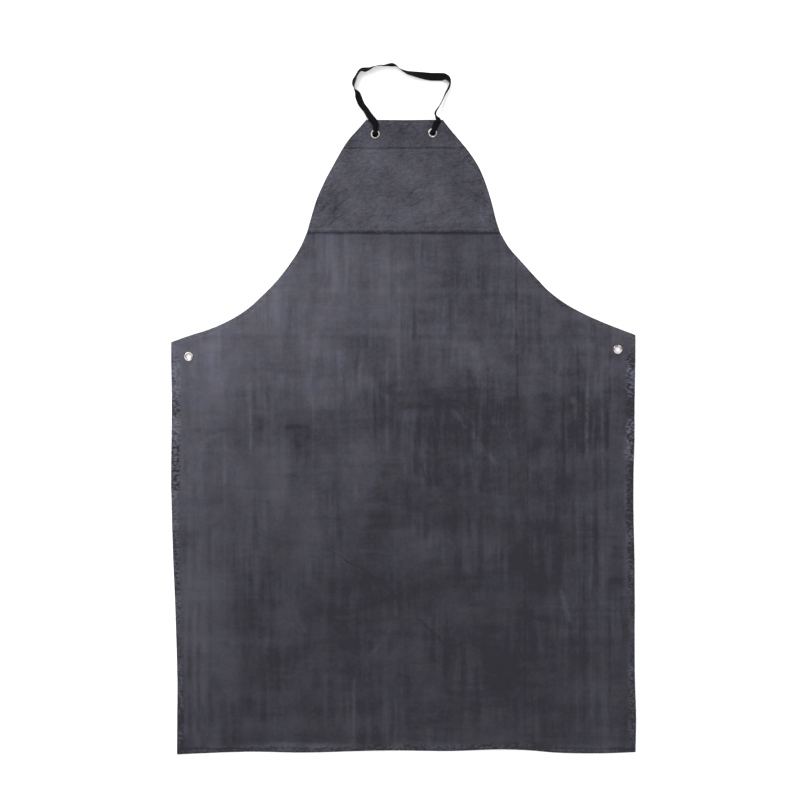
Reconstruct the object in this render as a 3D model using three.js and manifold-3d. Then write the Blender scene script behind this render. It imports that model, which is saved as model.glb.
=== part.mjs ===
// Heavy rubber work apron, lying flat on its back with its front up.
// Millimetres. +X to the right as seen from the front, +Y towards the neck, +Z up out of the front.
// "Left" and "right" are as seen by someone who looks at the front.

import * as THREE from 'three';
import { mergeVertices } from 'three/addons/utils/BufferGeometryUtils.js';
import Module from 'manifold-3d';

const wasm = await Module();
wasm.setup();

// Driving dimensions of the rubber sheet
const SHEET_LENGTH = 1225;
const SKIRT_WIDTH = 900;
const WAIST_HEIGHT_LEFT = 795;
const WAIST_HEIGHT_RIGHT = 809;
const BIB_DEPTH = 217;
const BIB_WIDTH_AT_SEAM = 374;
const BIB_WIDTH_AT_TOP = 148;
const BIB_TOP_OFFSET = 2;
const BOTTOM_WAVE = 6;
const SHEET_THICKNESS = 1.5;

// Turned hems behind the sheet
const SIDE_HEM = 9;
const TOP_HEM = 54;
const HEM_STEP = 0.6;
const HEM_LANDING = 15;
const EDGE_PUCKER = 0.7;
const PUCKER_PITCH = 41;

// Second layer on the front of the bib
const FACING_THICKNESS = 1.2;
const WELT_HEIGHT = 0.7;
const WELT_DEPTH = 3;
const STITCH_DEPTH = 7;
const SEAM_DEPTH = 16;

// Clearance that every pair of touching pieces keeps
const GAP = 0.3;

// Rolled metal eyelets
const EYELET_BORE = 11;
const EYELET_WALL = 0.5;
const EYELET_FLANGE = 18;
const EYELET_BACK_FLANGE = 16;
const EYELET_CROWN = 1.4;
const EYELET_BACK_ROLL = 1;
const NECK_EYELET_SPACING = 111;
const NECK_EYELET_DROP = 27;
const NECK_EYELET_SKEW = 1.3;
const WAIST_EYELET_INSET = 34;
const WAIST_EYELET_DROP = 28;
const WAIST_LIFT_REACH = 55;

// Woven neck tape
const TAPE_WIDTH = 16;
const TAPE_THICKNESS = 1.1;
const TAPE_LOOP_RISE = 132;
const KNOT_LENGTH = 19;
const KNOT_WIDTH = 15;
const KNOT_THICKNESS = 5.4;
const KNOT_TAIL = 24;
const KNOT_TAIL_WIDTH = 13;
const KNOT_TAIL_TURN = 0.35;
const KNOT_LIFT_REACH = 95;

// How finely the forms are divided
const INNER_COLUMNS = 13;
const ROWS_BETWEEN_SKIRT_SECTIONS = 2;
const ROWS_BETWEEN_CURVE_SECTIONS = 1;
const EYELET_SIDES = 20;
const HOLE_SIDES = 16;
const KNOT_SIDES = 12;
const KNOT_RINGS = 8;
const SEAT_SPOKES = 12;
const TAPE_STEPS_PER_STATION = 2;

// Edges of the skirt: rise is the share of the waist height, left and right are shares of half the width.
const SKIRT_SECTIONS = [
  { rise: 0, left: 0.976, right: 1 },
  { rise: 0.09, left: 0.975, right: 1.002 },
  { rise: 0.18, left: 0.974, right: 0.997 },
  { rise: 0.28, left: 0.979, right: 0.996 },
  { rise: 0.38, left: 0.985, right: 0.996 },
  { rise: 0.47, left: 0.992, right: 0.995 },
  { rise: 0.57, left: 0.997, right: 0.991 },
  { rise: 0.65, left: 1.001, right: 0.991 },
  { rise: 0.74, left: 1, right: 0.994 },
  { rise: 0.84, left: 0.998, right: 0.996 },
  { rise: 0.93, left: 1, right: 0.998 },
  { rise: 1, left: 1.001, right: 0.999 },
];

// Armholes, from the waist corners (rise 0) to the seam (rise 1): shares of the way in from waist to seam.
const ARMHOLE_SECTIONS = [
  { rise: 0, left: 0, right: 0 },
  { rise: 0.05, left: 0.112, right: 0.1 },
  { rise: 0.12, left: 0.286, right: 0.235 },
  { rise: 0.2, left: 0.431, right: 0.37 },
  { rise: 0.3, left: 0.559, right: 0.51 },
  { rise: 0.42, left: 0.668, right: 0.633 },
  { rise: 0.55, left: 0.771, right: 0.729 },
  { rise: 0.7, left: 0.866, right: 0.832 },
  { rise: 0.85, left: 0.945, right: 0.932 },
  { rise: 1, left: 1, right: 1 },
];

// Bib edges, from the seam (rise 0) to the top (rise 1): shares of the way in from seam to top.
const BIB_SECTIONS = [
  { rise: 0, left: 0, right: 0 },
  { rise: 0.11, left: 0.058, right: 0.069 },
  { rise: 0.29, left: 0.16, right: 0.158 },
  { rise: 0.47, left: 0.311, right: 0.274 },
  { rise: 0.6, left: 0.444, right: 0.389 },
  { rise: 0.737, left: 0.592, right: 0.573 },
  { rise: 0.826, left: 0.706, right: 0.72 },
  { rise: 0.915, left: 0.857, right: 0.87 },
  { rise: 1, left: 1, right: 1 },
];

// Bottom edge from left to right: shares of the width, and heights as shares of the bottom wave.
const BOTTOM_SECTIONS = [
  { across: 0, height: -0.81 },
  { across: 0.06, height: -0.39 },
  { across: 0.17, height: 0.16 },
  { across: 0.29, height: -0.13 },
  { across: 0.46, height: 0.61 },
  { across: 0.6, height: 0.37 },
  { across: 0.7, height: 1 },
  { across: 0.76, height: 0.74 },
  { across: 0.83, height: -0.16 },
  { across: 0.92, height: -0.39 },
  { across: 1, height: 0 },
];
const BOTTOM_WAVE_REACH = 0.1;

// Soft swells where the sheet stands off the ground: places are shares of half the width and of the
// length, reaches are shares of the width, and heights are millimetres at the highest point.
const SWELLS = [
  { across: 0.4, along: 0, reach: 0.11, height: 4 },
  { across: -0.08, along: 0, reach: 0.1, height: 2.5 },
  { across: -1, along: 0.36, reach: 0.06, height: 2.5 },
  { across: 1, along: 0.5, reach: 0.06, height: 3 },
  { across: 0.99, along: 0.23, reach: 0.05, height: 2 },
  { across: -0.99, along: 0.13, reach: 0.05, height: 2 },
  { across: 0.1, along: 0.62, reach: 0.14, height: 2 },
];

// Neck tape from the left eyelet to the right one. across is a share of half the eyelet spacing from the
// middle, rise a share of the loop's rise above the eyelets, roll is 0 where the tape lies flat and 90
// where it stands on its edge, lift is a share of the bib's height at its top edge, and wide and thick are
// shares of the tape's own width and thickness.
const TAPE_STATIONS = [
  { across: -0.978, rise: 0.12, roll: 15, lift: 1.12, wide: 0.78, thick: 1.3 },
  { across: -1.02, rise: 0.17, roll: 24, lift: 1.04, wide: 0.9, thick: 1.1 },
  { across: -1.14, rise: 0.224, roll: 28, lift: 1, wide: 1, thick: 1 },
  { across: -1.286, rise: 0.32, roll: 41, lift: 0.52, wide: 1, thick: 1 },
  { across: -1.467, rise: 0.425, roll: 37, lift: 0.12, wide: 1, thick: 1 },
  { across: -1.57, rise: 0.525, roll: 37, lift: 0, wide: 1, thick: 1 },
  { across: -1.617, rise: 0.59, roll: 47, lift: 0, wide: 1, thick: 1 },
  { across: -1.697, rise: 0.645, roll: 74, lift: 0, wide: 1, thick: 1 },
  { across: -1.735, rise: 0.68, roll: 88, lift: 0, wide: 1, thick: 1 },
  { across: -1.753, rise: 0.737, roll: 112, lift: 0, wide: 1, thick: 1 },
  { across: -1.728, rise: 0.795, roll: 118, lift: 0, wide: 1, thick: 1 },
  { across: -1.662, rise: 0.85, roll: 111, lift: 0, wide: 1, thick: 1 },
  { across: -1.56, rise: 0.92, roll: 114, lift: 0, wide: 1, thick: 1 },
  { across: -1.45, rise: 0.944, roll: 126, lift: 0, wide: 1, thick: 1 },
  { across: -1.338, rise: 0.944, roll: 131, lift: 0, wide: 1, thick: 1 },
  { across: -1.2, rise: 0.958, roll: 117, lift: 0, wide: 1, thick: 1 },
  { across: -1.06, rise: 0.987, roll: 105, lift: 0, wide: 1, thick: 1 },
  { across: -0.868, rise: 1.005, roll: 96, lift: 0, wide: 1, thick: 1 },
  { across: -0.693, rise: 1.002, roll: 91, lift: 0, wide: 1, thick: 1 },
  { across: -0.519, rise: 1.01, roll: 79, lift: 0, wide: 1, thick: 1 },
  { across: -0.39, rise: 1.01, roll: 75, lift: 0, wide: 1, thick: 1 },
  { across: -0.261, rise: 0.996, roll: 90, lift: 0, wide: 1, thick: 1 },
  { across: -0.108, rise: 0.947, roll: 104, lift: 0, wide: 1, thick: 1 },
  { across: 0.122, rise: 0.9, roll: 123, lift: 0, wide: 1, thick: 1 },
  { across: 0.456, rise: 0.873, roll: 143, lift: 0, wide: 1, thick: 1 },
  { across: 0.91, rise: 0.847, roll: 170, lift: 0, wide: 1, thick: 1 },
  { across: 1.24, rise: 0.845, roll: 172, lift: 0, wide: 1, thick: 1 },
  { across: 1.485, rise: 0.812, roll: 134, lift: 0, wide: 1, thick: 1 },
  { across: 1.596, rise: 0.745, roll: 101, lift: 0, wide: 1, thick: 1 },
  { across: 1.56, rise: 0.68, roll: 101, lift: 0, wide: 1, thick: 1 },
  { across: 1.443, rise: 0.592, roll: 96, lift: 0, wide: 1, thick: 1 },
  { across: 1.345, rise: 0.497, roll: 92, lift: 0.05, wide: 1, thick: 1 },
  { across: 1.223, rise: 0.4, roll: 93, lift: 0.2, wide: 1, thick: 1 },
  { across: 1.132, rise: 0.334, roll: 97, lift: 0.5, wide: 1, thick: 1 },
  { across: 1.101, rise: 0.283, roll: 107, lift: 0.75, wide: 1, thick: 1 },
  { across: 1.139, rise: 0.234, roll: 116, lift: 0.95, wide: 1, thick: 1 },
  { across: 1.194, rise: 0.184, roll: 138, lift: 1, wide: 0.95, thick: 1 },
  { across: 1.13, rise: 0.13, roll: 152, lift: 1.08, wide: 0.85, thick: 1.2 },
];

// Where the tape bends into an eyelet: out is a share of the bore's radius from its axis towards the loop,
// height a share of the way up from the middle of the knot to the top of the flange, and wide and thick
// are shares of the bore that the gathered tape passes through.
const TAPE_ENTRY = [
  { out: 0, height: 0, wide: 0.7, thick: 0.26 },
  { out: 0.02, height: 0.65, wide: 0.7, thick: 0.26 },
  { out: 0.22, height: 1.04, wide: 0.73, thick: 0.25 },
  { out: 0.75, height: 1.16, wide: 0.8, thick: 0.21 },
];

const rubber = new THREE.MeshStandardMaterial({ color: '#47474e', roughness: 0.72, metalness: 0 });
const facingRubber = new THREE.MeshStandardMaterial({ color: '#515159', roughness: 0.75, metalness: 0 });
const nickel = new THREE.MeshStandardMaterial({ color: '#c8bfba', roughness: 0.28, metalness: 1 });
const wovenTape = new THREE.MeshStandardMaterial({ color: '#101012', roughness: 0.85, metalness: 0 });

const HALF_WIDTH = SKIRT_WIDTH / 2;
const SEAM_HEIGHT = SHEET_LENGTH - BIB_DEPTH;
const TURN = 0.9 * SHEET_THICKNESS;
const HEM_INSETS = [0, TURN, SIDE_HEM, SIDE_HEM + HEM_STEP, SIDE_HEM + HEM_LANDING];
const LEFT = -1;
const RIGHT = 1;

// Reads a smooth value from a table of rows: key is the column looked up, column the one returned.
function smoothValue(table, key, at, column) {
  const last = table.length - 1;
  let row = 0;
  while (row < last - 1 && at > table[row + 1][key]) row += 1;
  const slope = (index) => {
    const before = table[Math.max(index - 1, 0)];
    const after = table[Math.min(index + 1, last)];
    return (after[column] - before[column]) / (after[key] - before[key]);
  };
  const span = table[row + 1][key] - table[row][key];
  const t = (at - table[row][key]) / span;
  const near = table[row][column] * (1 + 2 * t) * (1 - t) ** 2 + slope(row) * span * t * (1 - t) ** 2;
  const far = table[row + 1][column] * (3 - 2 * t) * t ** 2 + slope(row + 1) * span * (t - 1) * t ** 2;
  return near + far;
}

// Fades from 1 at no distance to 0 at the reach.
function fade(distance, reach) {
  if (distance >= reach) return 0;
  return 0.5 + 0.5 * Math.cos((Math.PI * distance) / reach);
}

function waistHeight(side) {
  return side === LEFT ? WAIST_HEIGHT_LEFT : WAIST_HEIGHT_RIGHT;
}

// One point of the sheet's outline, on the given side, stretch and rise.
function edgePoint(side, stretch, rise) {
  const column = side === LEFT ? 'left' : 'right';
  const waistX = side * HALF_WIDTH * SKIRT_SECTIONS[SKIRT_SECTIONS.length - 1][column];
  const seamX = (side * BIB_WIDTH_AT_SEAM) / 2;
  const topX = (side * BIB_WIDTH_AT_TOP) / 2 + BIB_TOP_OFFSET;
  if (stretch === 'skirt') {
    const share = smoothValue(SKIRT_SECTIONS, 'rise', rise, column);
    return new THREE.Vector2(side * HALF_WIDTH * share, rise * waistHeight(side));
  }
  if (stretch === 'armhole') {
    const share = smoothValue(ARMHOLE_SECTIONS, 'rise', rise, column);
    const y = THREE.MathUtils.lerp(waistHeight(side), SEAM_HEIGHT, rise);
    return new THREE.Vector2(THREE.MathUtils.lerp(waistX, seamX, share), y);
  }
  const share = smoothValue(BIB_SECTIONS, 'rise', rise, column);
  return new THREE.Vector2(THREE.MathUtils.lerp(seamX, topX, share), SEAM_HEIGHT + rise * BIB_DEPTH);
}

// The direction from the outline into the sheet, square to the edge.
function inwardNormal(side, stretch, rise) {
  const reach = 0.01;
  const low = edgePoint(side, stretch, Math.max(rise - reach, 0));
  const high = edgePoint(side, stretch, Math.min(rise + reach, 1));
  const along = high.sub(low).normalize();
  return new THREE.Vector2(-side * along.y, side * along.x);
}

// A point of the sheet at some distance in from the outline, in the given row.
function insetPoint(side, row, inset) {
  const edge = edgePoint(side, row.stretch, row.rise);
  if (row.stretch === 'armhole' && row.rise === 0) {
    const below = inwardNormal(side, 'skirt', 1);
    const above = inwardNormal(side, 'armhole', 0);
    const mitre = below.clone().add(above).divideScalar(1 + below.dot(above));
    return edge.addScaledVector(mitre, inset);
  }
  const normal = inwardNormal(side, row.stretch, row.rise);
  if (row.stretch === 'armhole') return edge.addScaledVector(normal, inset);
  edge.x += inset / normal.x;
  return edge;
}

// The tape's loop is set out from the point midway between the neck eyelets.
const LOOP_MIDDLE_X = BIB_TOP_OFFSET / 2;

const NECK_EYELET_Y = SHEET_LENGTH - NECK_EYELET_DROP;
const EYELETS = [
  {
    name: 'neck_eyelet_left',
    x: LOOP_MIDDLE_X - NECK_EYELET_SPACING / 2,
    y: NECK_EYELET_Y - NECK_EYELET_SKEW,
    neck: true,
  },
  {
    name: 'neck_eyelet_right',
    x: LOOP_MIDDLE_X + NECK_EYELET_SPACING / 2,
    y: NECK_EYELET_Y + NECK_EYELET_SKEW,
    neck: true,
  },
  {
    name: 'waist_eyelet_left',
    x: edgePoint(LEFT, 'skirt', 1).x + WAIST_EYELET_INSET,
    y: WAIST_HEIGHT_LEFT - WAIST_EYELET_DROP,
    neck: false,
  },
  {
    name: 'waist_eyelet_right',
    x: edgePoint(RIGHT, 'skirt', 1).x - WAIST_EYELET_INSET,
    y: WAIST_HEIGHT_RIGHT - WAIST_EYELET_DROP,
    neck: false,
  },
];
const NECK_EYELETS = EYELETS.filter((eyelet) => eyelet.neck);

const BACK_FLANGE_LIFT = EYELET_BACK_ROLL + 2 * GAP;
const NECK_LIFT = KNOT_THICKNESS + BACK_FLANGE_LIFT + GAP;

// How high the sheet's underside stands off the ground: over the knots, the eyelets and the soft swells.
function groundLift(x, y) {
  let lift = 0;
  for (const eyelet of EYELETS) {
    const distance = Math.hypot(x - eyelet.x, y - eyelet.y);
    const flat = EYELET_FLANGE;
    const reach = eyelet.neck ? KNOT_LIFT_REACH : WAIST_LIFT_REACH;
    const height = eyelet.neck ? NECK_LIFT : BACK_FLANGE_LIFT;
    lift = Math.max(lift, height * fade(Math.max(distance - flat, 0), reach));
  }
  for (const swell of SWELLS) {
    const dx = x - swell.across * HALF_WIDTH;
    const dy = y - swell.along * SHEET_LENGTH;
    lift = Math.max(lift, swell.height * fade(Math.hypot(dx, dy), swell.reach * SKIRT_WIDTH));
  }
  return lift;
}

// Share of a full hem thickness that carries the sheet at some distance from an edge.
function hemShare(distance, hem) {
  if (distance <= hem + HEM_STEP) return 1;
  return fade(distance - hem - HEM_STEP, HEM_LANDING - HEM_STEP);
}

// Small crinkles that the sewn hem leaves along the edge.
function pucker(y) {
  const quick = Math.sin((2 * Math.PI * y) / PUCKER_PITCH);
  const slow = Math.sin((2 * Math.PI * y) / (3.3 * PUCKER_PITCH) + 1);
  return EDGE_PUCKER * (0.5 + 0.5 * quick * slow);
}

// Distances of the rows from the top edge, and of the rows above the seam.
const TOP_INSETS = [TOP_HEM + HEM_LANDING, TOP_HEM + HEM_STEP, TOP_HEM, 0.72 * TOP_HEM, 0.5 * TOP_HEM,
  0.28 * TOP_HEM, TURN, 0];
const SEAM_INSETS = [0, WELT_DEPTH, STITCH_DEPTH, SEAM_DEPTH];

// Rises of a section table with some rows added between its own.
function divided(sections, between) {
  const rises = [];
  for (let index = 0; index < sections.length - 1; index += 1) {
    const step = (sections[index + 1].rise - sections[index].rise) / (between + 1);
    for (let part = 0; part <= between; part += 1) rises.push(sections[index].rise + part * step);
  }
  return rises;
}

// All rows of the sheet from the bottom edge to the top edge.
function sheetRows() {
  const rows = [];
  const waist = Math.min(WAIST_HEIGHT_LEFT, WAIST_HEIGHT_RIGHT);
  for (const inset of HEM_INSETS) rows.push({ stretch: 'skirt', rise: inset / waist });
  const firstRise = (SIDE_HEM + 2 * HEM_LANDING) / waist;
  const lastRise = 1 - (SIDE_HEM + HEM_LANDING) / waist;
  for (const rise of divided(SKIRT_SECTIONS, ROWS_BETWEEN_SKIRT_SECTIONS)) {
    if (rise > firstRise && rise < lastRise) rows.push({ stretch: 'skirt', rise });
  }
  for (const rise of divided(ARMHOLE_SECTIONS, ROWS_BETWEEN_CURVE_SECTIONS)) {
    rows.push({ stretch: 'armhole', rise });
  }
  for (const inset of SEAM_INSETS) rows.push({ stretch: 'bib', rise: inset / BIB_DEPTH });
  const lowest = (SEAM_DEPTH + TURN) / BIB_DEPTH;
  const highest = 1 - (TOP_HEM + 1.3 * HEM_LANDING) / BIB_DEPTH;
  for (const rise of divided(BIB_SECTIONS, ROWS_BETWEEN_CURVE_SECTIONS)) {
    if (rise > lowest && rise < highest) rows.push({ stretch: 'bib', rise });
  }
  for (const inset of TOP_INSETS) rows.push({ stretch: 'bib', rise: 1 - inset / BIB_DEPTH });
  return rows;
}

// Places one row's points, with their distances from the nearest side, bottom and top edge.
function rowPoints(row) {
  const points = [];
  const add = (point, sideInset) => {
    const up = row.stretch === 'skirt' ? row.rise * WAIST_HEIGHT_LEFT : SHEET_LENGTH;
    const down = row.stretch === 'bib' ? (1 - row.rise) * BIB_DEPTH : SHEET_LENGTH;
    const across = THREE.MathUtils.clamp((point.x + HALF_WIDTH) / SKIRT_WIDTH, 0, 1);
    const wave = BOTTOM_WAVE * smoothValue(BOTTOM_SECTIONS, 'across', across, 'height');
    const y = point.y + wave * fade(point.y, BOTTOM_WAVE_REACH * SHEET_LENGTH);
    const seam = row.stretch === 'bib' ? point.y - SEAM_HEIGHT : 0;
    points.push({ x: point.x, y, sideInset, up, down, seam });
  };
  for (const inset of HEM_INSETS) add(insetPoint(LEFT, row, inset), inset);
  const innerInset = HEM_INSETS[HEM_INSETS.length - 1];
  const left = insetPoint(LEFT, row, innerInset);
  const right = insetPoint(RIGHT, row, innerInset);
  for (let column = 1; column < INNER_COLUMNS; column += 1) {
    const share = 0.5 - 0.5 * Math.cos((Math.PI * column) / INNER_COLUMNS);
    add(left.clone().lerp(right, share), SKIRT_WIDTH);
  }
  for (const inset of [...HEM_INSETS].reverse()) add(insetPoint(RIGHT, row, inset), inset);
  return points;
}

// Front and back heights of the rubber sheet at a grid point.
function sheetHeights(point) {
  const lift = groundLift(point.x, point.y);
  const narrow = Math.min(point.sideInset, point.up);
  const folded = Math.max(hemShare(narrow, SIDE_HEM), hemShare(point.down, TOP_HEM));
  const outer = Math.min(narrow, point.down);
  const inHem = narrow <= SIDE_HEM || point.down <= TOP_HEM;
  const crinkle = narrow === SIDE_HEM && point.seam === 0 ? pucker(point.y) : 0;
  let front = lift + SHEET_THICKNESS * (1 + folded) + crinkle;
  let back = inHem ? lift : lift + SHEET_THICKNESS * folded;
  if (outer === 0) {
    front -= 0.4 * SHEET_THICKNESS;
    back += 0.4 * SHEET_THICKNESS;
  }
  return { front, back };
}

// The facing's front above its own back: a raised welt at the seam, then the sunken stitch line.
function facingThickness(seamDistance) {
  if (seamDistance <= 0) return FACING_THICKNESS;
  if (seamDistance <= WELT_DEPTH) return FACING_THICKNESS + WELT_HEIGHT;
  if (seamDistance <= STITCH_DEPTH) return 0.75 * FACING_THICKNESS;
  return FACING_THICKNESS;
}

// Closes a grid of points with front and back heights into one solid body.
function layeredSheet(grid, heights) {
  const rows = grid.length;
  const columns = grid[0].length;
  const positions = [];
  const indices = [];
  for (const layer of ['front', 'back']) {
    for (const row of grid) {
      for (const point of row) positions.push(point.x, point.y, heights(point)[layer]);
    }
  }
  const front = (row, column) => row * columns + column;
  const back = (row, column) => rows * columns + row * columns + column;
  const quad = (a, b, c, d) => indices.push(a, b, c, a, c, d);
  for (let row = 0; row < rows - 1; row += 1) {
    for (let column = 0; column < columns - 1; column += 1) {
      const right = column + 1;
      const above = row + 1;
      quad(front(row, column), front(row, right), front(above, right), front(above, column));
      quad(back(row, column), back(above, column), back(above, right), back(row, right));
    }
    quad(front(row, 0), front(row + 1, 0), back(row + 1, 0), back(row, 0));
    const end = columns - 1;
    quad(front(row + 1, end), front(row, end), back(row, end), back(row + 1, end));
  }
  for (let column = 0; column < columns - 1; column += 1) {
    quad(front(0, column + 1), front(0, column), back(0, column), back(0, column + 1));
    const end = rows - 1;
    quad(front(end, column), front(end, column + 1), back(end, column + 1), back(end, column));
  }
  const geometry = new THREE.BufferGeometry();
  geometry.setAttribute('position', new THREE.Float32BufferAttribute(positions, 3));
  geometry.setIndex(indices);
  return geometry;
}

function toSolid(geometry) {
  const bare = geometry.clone();
  bare.deleteAttribute('normal');
  bare.deleteAttribute('uv');
  const merged = mergeVertices(bare, 1e-4);
  const vertProperties = new Float32Array(merged.attributes.position.array);
  const triVerts = new Uint32Array(merged.index.array);
  return new wasm.Manifold(new wasm.Mesh({ numProp: 3, vertProperties, triVerts }));
}

function toGeometry(solid) {
  const mesh = solid.getMesh();
  const geometry = new THREE.BufferGeometry();
  geometry.setAttribute('position', new THREE.BufferAttribute(new Float32Array(mesh.vertProperties), 3));
  geometry.setIndex(new THREE.BufferAttribute(new Uint32Array(mesh.triVerts), 1));
  geometry.computeVertexNormals();
  return geometry;
}

// Cuts the round hole that an eyelet's barrel passes through.
function withHoles(geometry, eyelets) {
  let solid = toSolid(geometry);
  for (const eyelet of eyelets) {
    const radius = EYELET_BORE / 2 + EYELET_WALL + GAP;
    const height = 6 * (SHEET_THICKNESS + FACING_THICKNESS + NECK_LIFT);
    const cutter = new THREE.CylinderGeometry(radius, radius, height, HOLE_SIDES);
    cutter.rotateX(Math.PI / 2);
    cutter.translate(eyelet.x, eyelet.y, 0);
    solid = solid.subtract(toSolid(cutter));
  }
  return toGeometry(solid);
}

// The height of a geometry's outer face below or above a point, found by a straight line down or up.
function faceHeight(geometry, x, y, fromAbove) {
  const reach = SHEET_LENGTH;
  const probe = new THREE.Mesh(geometry, new THREE.MeshBasicMaterial({ side: THREE.DoubleSide }));
  const origin = new THREE.Vector3(x, y, fromAbove ? reach : -reach);
  const direction = new THREE.Vector3(0, 0, fromAbove ? -1 : 1);
  const hits = new THREE.Raycaster(origin, direction).intersectObject(probe);
  return hits.length > 0 ? hits[0].point.z : null;
}

// Highest front or lowest back of a geometry around an eyelet, out to the rim of its flange.
function seatHeight(geometry, eyelet, diameter, fromAbove) {
  const heights = [];
  for (const share of [0.8, 1]) {
    for (let spoke = 0; spoke < SEAT_SPOKES; spoke += 1) {
      const angle = (2 * Math.PI * spoke) / SEAT_SPOKES;
      const x = eyelet.x + ((share * diameter) / 2) * Math.cos(angle);
      const y = eyelet.y + ((share * diameter) / 2) * Math.sin(angle);
      const height = faceHeight(geometry, x, y, fromAbove);
      if (height !== null) heights.push(height);
    }
  }
  return fromAbove ? Math.max(...heights) : Math.min(...heights);
}

// A rolled eyelet: crowned front flange with a flat ring on it, straight barrel, flared back flange.
function eyeletGeometry(frontSeat, backSeat) {
  const bore = EYELET_BORE / 2;
  const flange = EYELET_FLANGE / 2;
  const backFlange = EYELET_BACK_FLANGE / 2;
  const barrel = bore + EYELET_WALL;
  const under = frontSeat + GAP;
  const top = under + EYELET_CROWN;
  const over = backSeat - GAP;
  const low = over - EYELET_BACK_ROLL;
  const profile = [
    [bore, low + 0.35 * EYELET_BACK_ROLL],
    [bore, top - 0.5 * EYELET_CROWN],
    [bore + 0.3, top - 0.15 * EYELET_CROWN],
    [THREE.MathUtils.lerp(bore, flange, 0.3), top],
    [THREE.MathUtils.lerp(bore, flange, 0.68), top],
    [flange - 0.25, top - 0.4 * EYELET_CROWN],
    [flange, under],
    [barrel, under],
    [barrel, over],
    [backFlange, over],
    [backFlange - 0.2, low + 0.25 * EYELET_BACK_ROLL],
    [THREE.MathUtils.lerp(bore, backFlange, 0.7), low],
    [THREE.MathUtils.lerp(bore, backFlange, 0.3), low],
    [bore, low + 0.35 * EYELET_BACK_ROLL],
  ];
  const points = profile.reverse().map(([radius, height]) => new THREE.Vector2(radius, height));
  const geometry = new THREE.LatheGeometry(points, EYELET_SIDES);
  geometry.rotateX(Math.PI / 2);
  return geometry;
}

// Stations of the tape in millimetres, from the left knot over the loop to the right knot.
function tapeStations(neckSeats, stackHeight) {
  const loop = TAPE_STATIONS.map((row) => {
    const roll = THREE.MathUtils.degToRad(row.roll);
    const halfHeight = 0.5 * (row.wide * TAPE_WIDTH * Math.abs(Math.sin(roll))
      + row.thick * TAPE_THICKNESS * Math.abs(Math.cos(roll)));
    return {
      x: LOOP_MIDDLE_X + (row.across * NECK_EYELET_SPACING) / 2,
      y: NECK_EYELET_Y + row.rise * TAPE_LOOP_RISE,
      z: GAP + halfHeight + row.lift * stackHeight,
      roll,
      width: row.wide * TAPE_WIDTH,
      thickness: row.thick * TAPE_THICKNESS,
    };
  });
  const entry = (eyelet, seat, next, roll) => TAPE_ENTRY.map((row) => {
    const away = new THREE.Vector2(next.x - eyelet.x, next.y - eyelet.y).normalize();
    const distance = (row.out * EYELET_BORE) / 2;
    return {
      x: eyelet.x + away.x * distance,
      y: eyelet.y + away.y * distance,
      z: THREE.MathUtils.lerp(KNOT_THICKNESS / 2, seat + GAP + EYELET_CROWN, row.height),
      roll,
      width: row.wide * EYELET_BORE,
      thickness: row.thick * EYELET_BORE,
    };
  });
  const [left, right] = NECK_EYELETS;
  const last = loop[loop.length - 1];
  return [
    ...entry(left, neckSeats[0], loop[0], 0),
    ...loop,
    ...entry(right, neckSeats[1], last, Math.PI).reverse(),
  ];
}

// Sweeps the flat tape along its stations. Its width turns from level to upright with the roll.
function tapeGeometry(stations) {
  const curve = new THREE.CatmullRomCurve3(stations.map((s) => new THREE.Vector3(s.x, s.y, s.z)));
  const steps = TAPE_STEPS_PER_STATION * (stations.length - 1);
  const section = [[-0.5, 0], [-0.42, -0.5], [0.42, -0.5], [0.5, 0], [0.42, 0.5], [-0.42, 0.5]];
  const positions = [];
  const indices = [];
  const up = new THREE.Vector3(0, 0, 1);
  let level = null;
  for (let step = 0; step <= steps; step += 1) {
    const at = step / TAPE_STEPS_PER_STATION;
    const index = Math.min(Math.floor(at), stations.length - 2);
    const share = at - index;
    const value = (key) => THREE.MathUtils.lerp(stations[index][key], stations[index + 1][key], share);
    const centre = curve.getPoint(step / steps);
    const tangent = curve.getTangent(step / steps);
    const flat = new THREE.Vector3(-tangent.y, tangent.x, 0);
    if (level === null || flat.length() > 0.5) level = flat.normalize();
    const side = level.clone().addScaledVector(tangent, -level.dot(tangent)).normalize();
    const normal = new THREE.Vector3().crossVectors(tangent, side).normalize();
    const roll = value('roll');
    const width = side.clone().multiplyScalar(Math.cos(roll)).addScaledVector(normal, Math.sin(roll));
    const thick = normal.clone().multiplyScalar(Math.cos(roll)).addScaledVector(side, -Math.sin(roll));
    for (const [across, through] of section) {
      const point = centre.clone()
        .addScaledVector(width, across * value('width'))
        .addScaledVector(thick, through * value('thickness'));
      positions.push(point.x, point.y, point.z);
    }
  }
  const around = section.length;
  for (let step = 0; step < steps; step += 1) {
    for (let corner = 0; corner < around; corner += 1) {
      const next = (corner + 1) % around;
      const a = step * around + corner;
      const b = step * around + next;
      indices.push(a, b, b + around, a, b + around, a + around);
    }
  }
  const cap = (start, reversed) => {
    for (let corner = 1; corner < around - 1; corner += 1) {
      const first = start + (reversed ? corner + 1 : corner);
      const second = start + (reversed ? corner : corner + 1);
      indices.push(start, first, second);
    }
  };
  cap(0, true);
  cap(steps * around, false);
  const geometry = new THREE.BufferGeometry();
  geometry.setAttribute('position', new THREE.Float32BufferAttribute(positions, 3));
  geometry.setIndex(indices);
  return geometry;
}

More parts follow.
